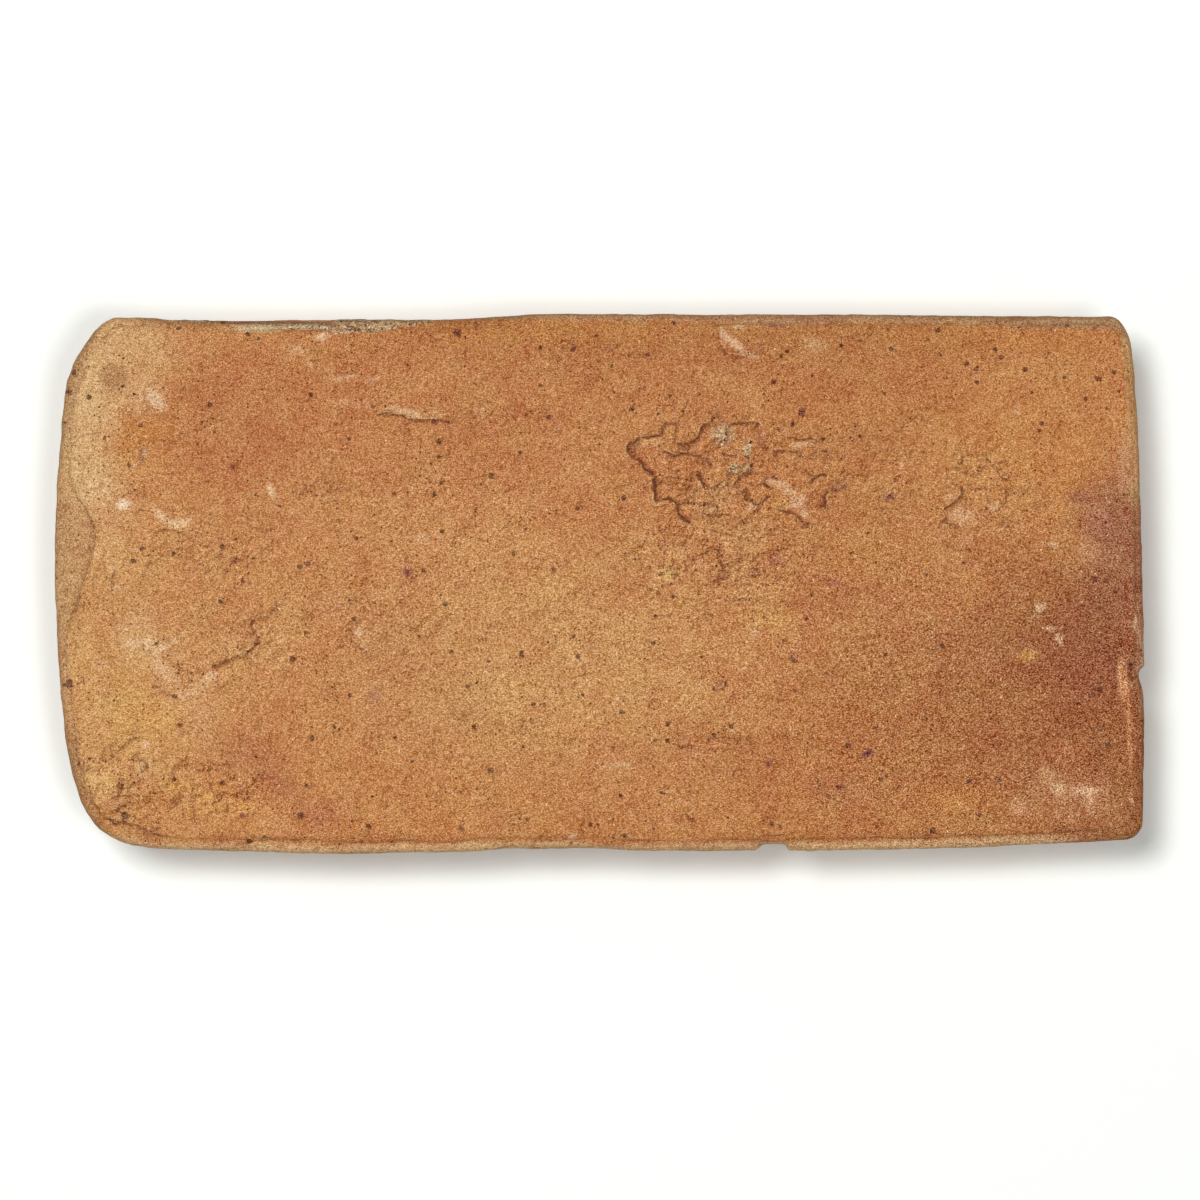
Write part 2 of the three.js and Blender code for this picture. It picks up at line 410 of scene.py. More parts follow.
@dataclass(frozen=True)
class Patch:
    """An elliptical patch of the struck face: its middle, its two radii and its turn in degrees."""

    x: float
    y: float
    long: float
    short: float
    turn: float = 0

    def radius(self, places: Array) -> Array:
        """How far each place lies from the middle, where 1 is the patch's edge.

        Args:
            places: In millimetres.

        Returns:
            A radius for each place.
        """
        angle = math.radians(self.turn)
        dx, dy = places[:, 0] - self.x, places[:, 1] - self.y
        along = dx * math.cos(angle) + dy * math.sin(angle)
        across = dy * math.cos(angle) - dx * math.sin(angle)
        return np.hypot(along / self.long, across / self.short)

    def soft(self, places: Array, softness: float = 0.7) -> Array:
        """A share that fades fairly from 1 inside to 0 outside, over `softness` each side of the edge."""
        return smooth_rise(1 + softness, 1 - softness, self.radius(places))

    def level(self, places: Array) -> Array:
        """A straight slope that passes one half at the edge, for a shader to cut crisply."""
        return np.clip(1.5 - self.radius(places), 0, 1)


@dataclass(frozen=True)
class Stain:
    """A patch that the kiln or wear has turned another colour, by its shape as a `Patch` takes it."""

    shape: tuple[float, ...]
    colour: Tone
    strength: float = 0.7
    softness: float = 0.7

    @property
    def patch(self) -> Patch:
        """The stain's patch."""
        return Patch(*self.shape)


@dataclass(frozen=True)
class Tear:
    """A torn line, x and y by turns: a painted highlight on its raised left side, painted shade on its low
    right.
    """

    line: tuple[float, ...]
    lift: float = 0.14
    width: float = 0.45
    shade: float = 0.8

    def path(self) -> Array:
        """The line's points in rows."""
        return np.array(self.line).reshape(-1, 2)


@dataclass(frozen=True)
class Pit:
    """A small dent or scar with a flat floor."""

    patch: Patch
    depth: float


@dataclass(frozen=True)
class Chip:
    """A bite out of the lip, with an easy and a steep end, that fades as the inset grows."""

    way: Way
    depth: float
    start: Pair
    end: Pair
    fade: Pair

    def bite(self, along: Array, inset: Array) -> Array:
        """How far the lip gives way."""
        stretch = smooth_rise(*self.start, along) * smooth_rise(*self.end, along)
        return self.depth * stretch * smooth_rise(*self.fade, inset)


@dataclass(frozen=True)
class Edging:
    """A strip of another colour along one side of the struck face.

    Its width is given at places along the side. It may turn into a second colour over some stretches.
    """

    way: Way
    width: tuple[tuple[float, ...], tuple[float, ...]]
    colour: Tone
    strength: float
    stretches: tuple[Pair, ...] = ()
    fade: float = 0.5
    sway: float = 1.0
    second: Tone = (0, 0, 0)
    turns: tuple[Pair, ...] = ()

    def laid(self, under: Array, along: Array, inset: Array, sway: Array) -> Array:
        """Lays the strip over the colours.

        Args:
            under: Linear colours in rows.
            along: Each place's way along the side.
            inset: How far it lies inside the side.
            sway: Millimetres by which the strip's edge strays.

        Returns:
            The colours with the strip on them.
        """
        edge = inset - np.interp(along, *self.width) + self.sway * sway
        share = self.strength * smooth_rise(self.fade, -self.fade, edge)
        for stretch in self.stretches:
            share = share * smooth_rise(*stretch, along)
        turned = sum(smooth_rise(*turn, along) for turn in self.turns)
        colour = fired(*self.colour)
        if self.turns:
            colour = blend(colour, fired(*self.second), turned[:, None])
        return blend(under, colour, share[:, None])


@dataclass(frozen=True)
class Speck:
    """A burnt speck in the clay; `hue` goes from 0 for brown-black to 1 for purple."""

    x: float
    y: float
    radius: float = 0.35
    hue: float = 0.0


def nearest_on_path(places: Array, path: Array) -> tuple[Array, Array]:
    """Signed distance to an open path, positive on its left, and the distance left to its nearer end.

    Each segment gives the foot of the perpendicular, clamped to its ends, and the nearest foot wins.

    Args:
        places: Places in rows, of which the first two columns are read.
        path: Points of the path in rows.

    Returns:
        The signed distances, and how far along the path each foot lies from the nearer end.
    """
    start, step = path[:-1], np.diff(path, axis=0)
    length = np.linalg.norm(step, axis=1)
    offset = places[:, None, :2] - start
    share = np.clip((offset * step).sum(-1) / length**2, 0, 1)
    gap = np.linalg.norm(offset - share[..., None] * step, axis=-1)
    side = np.sign(step[:, 0] * offset[..., 1] - step[:, 1] * offset[..., 0])
    best = gap.argmin(axis=1)
    row = np.arange(len(places))
    travelled = np.append(0, np.cumsum(length))[best] + share[row, best] * length[best]
    end = np.minimum(travelled, length.sum() - travelled)
    return gap[row, best] * np.where(side[row, best] < 0, -1, 1), end


def inside_outline(places: Array, outline: Array) -> Array:
    """Whether each place lies in a closed outline, by counting the edges that a ray crosses.

    Args:
        places: Places in rows.
        outline: The outline's points in rows.

    Returns:
        True or false for each place.
    """
    ends = np.roll(outline, -1, axis=0)
    x, y = places[:, None, 0], places[:, None, 1]
    spans = (outline[:, 1] > y) != (ends[:, 1] > y)
    rise = np.where(ends[:, 1] == outline[:, 1], 1e-9, ends[:, 1] - outline[:, 1])
    crossing = (ends[:, 0] - outline[:, 0]) * (y - outline[:, 1]) / rise + outline[:, 0]
    return ((spans & (x < crossing)).sum(axis=1) % 2).astype(bool)


def made(kind: type, *rows: tuple) -> tuple:
    """One thing of a kind for each row of its values."""
    return tuple(kind(*row) for row in rows)


def patches(*rows: tuple[float, ...]) -> tuple[tuple[Patch, float], ...]:
    """A patch and its strength for each row, which starts with the strength."""
    return tuple((Patch(*shape), strength) for strength, *shape in rows)


FLAKE_OUTLINE = (
    5.6, 28, 5.6, 27, 6, 26, 6.9, 25, 8.2, 24.6, 9, 23.2, 10.2, 22.2, 11, 21.4,
    10.6, 20.6, 11, 19.2, 11.2, 18, 10.9, 16.9, 11.4, 16.4, 12.4, 16.9, 14, 16.9, 15.3, 16.2,
    15.9, 15, 16, 13.8, 16.9, 12.9, 18.2, 12, 21.4, 13.1, 24.8, 11.4, 29.4, 12.2, 32.9, 13.2,
    36, 14.8, 38.6, 14.3, 39.9, 13.7, 40.4, 12.4, 41.4, 11.7, 42.4, 12, 44.6, 14.9, 45.4, 15.6,
    45.3, 16.4, 45.4, 17.8, 46.2, 18.7, 47.4, 18.8, 49, 19, 49.8, 18.9, 50, 20.6, 46, 21.9,
    43, 21.4, 40, 24, 35.5, 26.2, 32.5, 28, 31.8, 31.8, 30, 32.5, 26.2, 32.1, 23.8, 34,
    22, 34, 19.3, 33.2, 16, 32.6, 13, 32.2, 12.6, 31, 12.2, 29.9, 10, 29.6, 8, 29.6,
    7, 28.9,
)

TEARS = made(
    Tear,
    # The flake's walls.
    ((18.2, 12, 16.9, 12.9, 16, 13.8, 15.9, 15, 15.3, 16.2, 14, 16.9, 12.4, 16.9), 0.4, 0.9, 0.9),
    ((12.4, 16.9, 11.4, 16.4, 10.9, 16.9, 11.2, 18, 11, 19.2, 10.6, 20.6, 11, 21.4), 0.45, 1, 1),
    ((11, 21.4, 10.2, 22.2, 9, 23.2, 8.2, 24.6, 6.9, 25), 0.5, 1.1, 1),
    ((6.9, 25, 6, 26, 5.6, 27, 5.6, 28, 7, 28.9, 8, 29.6), 0.5, 1.7, 0.9),
    ((8, 29.6, 10, 29.6, 12.2, 29.9, 12.6, 31, 13, 32.2, 14.8, 32.2, 16, 32.6), 0.3, 0.6),
    ((26.2, 32.1, 27.4, 32.2, 28.6, 32.4, 30, 32.5, 31.2, 32.4, 32, 31.8, 31.4, 30.8), 0.3, 0.6),
    ((42.4, 12, 41.4, 11.7, 40.4, 12.4, 39.9, 13.7, 38.6, 14.3, 37.2, 14.4, 35.8, 14.8), 0.28, 0.7),
    ((50, 20, 49.8, 18.9, 49, 19, 47.4, 18.8, 46.2, 18.7), 0.35, 0.8, 0.8),
    ((46.2, 18.7, 45.4, 17.8, 45.3, 16.4, 45.4, 15.6, 44.6, 14.9), 0.3, 0.9, 1),
    # Ledges inside it.
    ((14.6, 28.2, 15, 29, 15.2, 30.5, 15.6, 32), 0.2, 0.6, 0.7),
    ((15.4, 28, 17, 28.2, 18.4, 28.5, 19.7, 29.5, 20, 30.6, 20.8, 31.7, 22.2, 32.4), 0.45, 1.2, 0.95),
    ((22.2, 32.4, 22.9, 33.6, 22, 34), 0.3, 0.7),
    ((12, 27, 13.4, 26.3, 14.8, 25.7, 16, 26.2, 17.6, 26.2, 19.4, 25.9, 21, 25.2), 0.32, 0.5, 0.95),
    ((21, 25.2, 22.3, 24.2, 22.9, 22.8), 0.3, 0.6, 0.8),
    ((21.4, 18.6, 21, 19.4, 20.4, 20.3, 19.8, 21.3, 19.6, 22.3), 0.4, 0.9, 1),
    ((27, 19.2, 27.2, 20, 27.6, 20.8, 28.4, 21.6, 30, 22.2, 30.8, 22.6, 31.6, 22.8), 0.25, 0.5, 0.9),
    ((29.6, 16.4, 29.2, 17.4, 29.6, 18.2, 28.6, 19), 0.3, 1, 0.95),
    ((30.2, 17.2, 30.8, 16.4, 31.8, 15.8, 33, 16.6, 33.6, 17.4, 34.8, 17.8), 0.25, 0.5),
    ((34.6, 18.8, 33.8, 19.6, 33.2, 19.8, 32.6, 20.6, 33.6, 21.4, 36.6, 21.3), 0.25, 0.6),
    ((42.3, 20.2, 43, 21.2, 44.4, 21.7, 46, 21.9), 0.3, 0.5, 0.95), ((43, 21.3, 42.5, 22.3), 0.2, 0.4),
    ((24.4, 26.4, 25.2, 26.4, 26.2, 26, 27.4, 25.7, 28.2, 25.6), 0.2, 0.4, 0.9),
    ((11.6, 22.4, 13, 21.7, 15, 21.5, 17, 21, 19, 21), 0.12, 0.4, 0.7),
    ((11, 20.2, 13, 20.2, 15.6, 20, 17.4, 19.7, 19, 20), 0.12, 0.35, 0.65),
    ((16.8, 16.4, 19, 16.2, 21.4, 16.3, 22.4, 16, 23.8, 15.7, 23.9, 14.4), 0.2, 0.45),
    ((20.4, 14.2, 21.6, 14.3, 22.6, 13.9, 24.6, 13.8, 26.8, 13.9), 0.15, 0.4),
    ((28.2, 13.4, 28.9, 12.8, 29.4, 12.4), 0.15, 0.4),
    ((30.8, 14.2, 31.4, 14.8, 31.8, 15.6, 30.8, 16), 0.15, 0.4),
    # Round the flake.
    ((37.6, 29.2, 38.6, 29.4, 40, 28.9, 41.4, 29.1, 42.4, 29.5, 43.4, 29.2, 44.2, 28.6), 0.2, 0.5),
    ((44.4, 27.4, 43.6, 26.4, 42.6, 25.8, 41.8, 24.6), 0.15, 0.5, 0.7),
    ((34.4, 27, 36, 26.7, 38.2, 26.8, 39.6, 26.6, 40.4, 26.2, 41.6, 24.8), 0.16, 0.5),
    ((18.3, 37.5, 17.4, 35.8, 16.7, 34), 0.12, 0.5, 0.7),
    ((22.6, 35.4, 23.6, 34.4, 24.4, 33.6), 0.1, 0.35, 0.7),
    ((12, 4.2, 13.2, 3.4, 14.6, 3.2, 15.5, 2.4, 15.6, 1.6, 14.8, 0.9, 13, 0.7, 12.4, 1.4), 0.1, 0.35),
    ((7.6, -0.3, 9.4, -0.6, 11.2, -1.5, 12.4, -2.2), 0.12, 0.4, 0.8),
    ((24.2, 5.2, 24.6, 4, 25, 2.8, 25.4, 2, 25.4, 0.8), 0.15, 0.5, 0.8),
    ((21.6, 6.8, 22.6, 7.2, 23.8, 6.8, 24.4, 5.8), 0.12, 0.5, 0.8),
    ((30.2, 2.2, 31.2, 2.8, 32.2, 3.4, 33.4, 3.2), 0.12, 0.45, 0.8),
    ((35.9, 4.2, 36.8, 4, 37.8, 3.4), 0.1, 0.4, 0.8),
    ((37.8, 1.2, 38.4, 1.9, 39.2, 1.9, 39.6, 1.4), 0.1, 0.35, 0.8),
    ((26, -2.6, 27.6, -2.9, 29.6, -2.9, 31.6, -3.4), 0.1, 0.35, 0.8),
    ((20, -5.9, 22, -6, 23.4, -6.3), 0.08, 0.35, 0.7),
    ((40.2, 11.7, 41.4, 11.2, 42.2, 11.8), 0.1, 0.4, 0.8),
    ((22.2, 10.4, 23, 10.8, 23.9, 10.4), 0.1, 0.4, 0.8),
    # The scars to the east.
    ((72, 10.4, 71.8, 11.1, 71, 11.6, 69.8, 12, 69.2, 12.8, 69.7, 13.6, 69.5, 14.4), 0.3, 0.6, 0.95),
    ((69.5, 14.4, 69.8, 15.2, 70.8, 15.8, 72.2, 16.8, 73.1, 17.6, 73.2, 18.2, 72, 19.2), 0.3, 0.6, 0.95),
    ((76, 9.4, 76.2, 8, 75.4, 7.2, 74, 6.7, 72.4, 6.5, 71, 6.8, 70.2, 7.4, 69.6, 8.4), 0.15, 0.7, 0.6),
    ((78.9, 13.8, 78, 14.6, 77.9, 15.4, 78.4, 16.2), 0.15, 0.4, 0.9),
    ((73.8, 26.2, 73.4, 25.2, 72.6, 24.2, 72.2, 23.4, 72, 22.8, 72.8, 22.7, 73.8, 22.4), 0.1, 0.35),
    ((77.8, 26.6, 78.2, 24.8, 79.2, 24.2, 80, 23.4, 80.3, 22, 81.2, 21.4, 82.2, 20.8), 0.12, 0.35),
    ((87.8, -3.4, 87.3, -4.8, 87.2, -6.2, 88.2, -7, 89.4, -7.2), 0.1, 0.4, 0.7),
    ((90, 46.8, 91.4, 46.2, 92.4, 45.6), 0.1, 0.4, 0.7),
    # The west half.
    ((-101.5, 12.4, -99.6, 12.2, -98, 12, -96.6, 11.2, -95.6, 10.2, -95, 8.8, -94.2, 7.6), 0.08, 0.4,
     0.48),
    ((-91, 10.8, -89, 10.4, -87, 10.8, -85.5, 10.5, -83.8, 10, -82.4, 9, -80.6, 8.2), 0.1, 0.45, 0.62),
    ((-80.6, 8.2, -79, 7.6, -78.4, 6.4, -77.4, 5.6, -75.6, 5.1, -73, 5.2), 0.1, 0.45, 0.55),
    ((-93.6, 1.4, -92, 2.4, -91, 4, -89.4, 5, -87, 5.8, -85, 6.1, -83.4, 5.6, -82, 5), 0.1, 0.4, 0.55),
    ((-82, 5, -80.6, 4, -79.6, 3, -79, 1.8), 0.08, 0.35, 0.48),
    ((-74.8, 4.6, -73.4, 4.4, -72, 4.8, -71, 4.4, -70.4, 3.6, -71.6, 3, -72.6, 2.2, -74, 1.4), 0.1, 0.45,
     0.55),
    ((-84.8, 15.2, -82, 15.2, -79.6, 14.4, -77.6, 13.4, -75, 13.2, -73, 12.4, -72.2, 11), 0.06, 0.35,
     0.41),
    ((-69.4, -12.6, -69.6, -11.4, -70, -9.8, -70.3, -8.4, -70.5, -7.2), 0.3, 0.6, 0.85),
    ((-70.4, -7.2, -67.6, -7, -65.4, -4.8, -62.6, -2.4), 0.18, 0.5, 0.6),
    ((-78.4, -16.7, -76.6, -16.1, -74.6, -15.4, -71.8, -14.4, -69.8, -12.8, -68.3, -11.1), 0.3, 0.7, 0.9),
    ((-67.8, -11.1, -67, -9.6, -66, -8.2, -64.8, -6.6, -63.4, -5.4), 0.12, 0.4, 0.55),
    ((-63.6, -7, -61.6, -6.6, -59, -6.6, -57, -7.4), 0.1, 0.45, 0.45),
    ((-86.4, -15.2, -85, -16.6, -84, -17.6, -82.4, -17.9, -80.8, -17.4, -79.8, -16.6), 0.14, 0.5, 0.55),
    ((-86, -12, -87, -13.4, -88, -14.2), 0.08, 0.4, 0.41),
    ((-80.2, -6, -79.8, -7.4, -80.4, -9.2), 0.08, 0.4, 0.41),
    ((-98.5, -2, -98.3, -0.5, -98.6, 1, -98, 2, -97.2, 3.4), 0.2, 0.4, 0.69),
    ((-100, 1.6, -98.8, 0.8, -98.2, 0.4), 0.2, 0.4, 0.69),
    ((-94, 20, -93.5, 19, -92.5, 17.5, -91.8, 16.2), 0.1, 0.4, 0.55),
    ((-92.4, 24, -92.2, 25.4, -91.8, 26.6, -91.4, 27.4), 0.25, 0.6, 0.69),
    ((-91, 28.4, -88, 28.6, -85, 28.2), 0.06, 0.35, 0.38),
    ((-85.6, 50.4, -86.5, 51.4, -88, 52.2, -91, 52.4, -94, 52.4, -97, 51.8, -100, 51.3), 0.16, 0.45, 0.55),
    ((-90.6, -20.3, -88.8, -21, -87.6, -22.2, -86.2, -22.6, -85.2, -23.6), 0.12, 0.45, 0.62),
    ((-91, -21.8, -89.6, -22.4, -88.4, -21.8), 0.1, 0.4, 0.55),
    ((-103.4, 14.6, -102.6, 11.5, -101.6, 9.6, -102, 7.5, -102.8, 6, -103.8, 3.6), 0.12, 0.7, 0.58),
    ((-103.8, 3.6, -104.4, 0, -105, -3.5, -105.4, -5.5, -107.2, -7, -107.6, -10), 0.12, 0.8, 0.62),
    # The folded south-west corner.
    ((-98.8, -34.9, -97.6, -33.8, -96.4, -32.6, -94.8, -31.6, -93.4, -31, -92.4, -30.6), 0.25, 0.6, 0.7),
    ((-97.6, -43, -96.8, -41.4, -96.2, -39.6), 0.2, 0.7, 0.75),
    ((-98.5, -44.6, -98.5, -43.6), 0.1, 0.4, 0.88),
    ((-98.4, -45.4, -97, -45.2, -95.4, -44.8), 0.12, 0.5, 0.75),
    ((-99, -48.5, -97.4, -48.6, -96.2, -47.8), 0.12, 0.6, 0.84),
    ((-94.6, -36.4, -93.4, -35.6, -91.8, -35.9, -91, -36.9, -92.4, -38, -94, -37.6), 0.15, 0.45, 0.7),
    ((-105.6, -33, -104.9, -38, -104.6, -41, -103.2, -43.4, -101, -45.6, -100, -47.4), 0.15, 0.7, 0.75),
    ((-100, -47.4, -97, -48.2, -94, -48.6, -91.6, -49.6, -89.6, -50.6, -87, -51.6), 0.15, 0.8, 0.84),
    # The middle.
    ((-45.4, 34.1, -42.4, 34, -40.4, 33.8, -37, 33, -33.7, 32.7, -29.2, 32.4), 0.2, 0.45, 0.85),
    ((-50.4, -10.8, -49.6, -11.6, -48, -13.2, -46, -15.4), 0.2, 0.45, 0.9),
    ((-54, 42.6, -51, 42.4, -48.6, 42.6), 0.06, 0.35, 0.5),
    ((-57.6, 45, -56.8, 43.4, -55.4, 41.6), 0.06, 0.35, 0.5),
    ((24.4, 48.6, 25.4, 46.6, 27, 45.8, 29.8, 46, 31.2, 46.2, 32, 46.8, 33.6, 47.4), 0.16, 0.5, 0.8),
    ((-26, 35.6, -25.4, 33.6, -24, 31.2), 0.08, 0.45, 0.6),
    ((-24, 31.2, -23.4, 33, -21.8, 34.2, -21.4, 35.8), 0.08, 0.4, 0.55),
    ((16.6, -46.4, 17.6, -46.7, 18.3, -47.6, 19.4, -48), 0.14, 0.4, 0.95),
    ((22.4, -20.2, 23.2, -21.6, 24.6, -21.4, 25.4, -20, 25, -19.2), 0.14, 0.5, 0.8),
    ((-34.9, 21.6, -34.2, 20.5, -33.1, 20.3), 0.08, 0.35, 0.7),
    ((26.4, -40, 26.6, -38.6, 27.4, -37.8), 0.08, 0.35, 0.6),
    ((43, -40.6, 46, -42.6, 49, -44.4), 0.08, 0.35, 0.7),
    ((10, -31.6, 13, -30.8, 16, -31, 19, -30.6, 22, -31.2, 25, -30.9, 29, -31.3, 33, -30.9), 0.1, 0.4,
     0.6),
    ((14, -33.2, 18, -32.8, 22, -33.4, 27, -32.9, 31, -33.6), 0.08, 0.35, 0.55),
    ((24, -35.2, 28, -34.9, 33, -35.6, 37, -35.1), 0.08, 0.35, 0.5),
    ((-7.6, -14.8, -8, -17, -8.2, -19.6, -7.9, -22.4), 0.06, 0.35, 0.5),
    ((-6, -51, -8, -52, -11, -52.2), 0.1, 0.5, 0.8),
)

PITS = made(
    Pit,
    (Patch(73, 13.6, 3.4, 2.8), 0.3), (Patch(73, 8.4, 3, 1.9), 0.2), (Patch(79.6, 15, 1.6, 1.5), 0.14),
    (Patch(40.8, 27.6, 3.2, 1.3, -5), 0.2), (Patch(23.8, -20.6, 1.3, 0.8, 25), 0.35),
    (Patch(53.9, -34.5, 1.3, 0.7, 10), 0.3), (Patch(26.8, 48.4, 4.2, 1.1, -42), 0.3),
    (Patch(24.8, 30, 2.6, 2.4), 0.25), (Patch(27.6, 23.2, 2, 1), 0.35), (Patch(30.2, 28.2, 0.6, 2.6), 0.3),
    (Patch(88.8, 28, 1.3, 0.8), 0.1), (Patch(-107.2, -20.6, 0.9, 1.1), 0.6),
)

CRINKLES = patches(
    (0.7, 26, 21, 21, 13), (0.8, 24, 5, 20, 10), (0.75, 56, 24, 10, 7), (0.6, 78, 21, 12, 9),
    (0.46, -75, -11, 17, 11), (0.5, -76, 6, 13, 6), (0.5, -55, 19, 8, 6), (0.45, -52, -8, 10, 8),
    (0.4, -24, 33, 22, 8), (0.95, -95, -40, 10, 8), (0.88, -79, -41, 13, 7), (0.35, -55, 43, 12, 6),
    (0.35, 28, 42, 12, 7), (0.35, 25, -33, 22, 8), (0.35, -30, -32, 10, 4),
)

STRIATIONS = Patch(25, -34, 17, 5)

CLAY = (187, 126, 78)

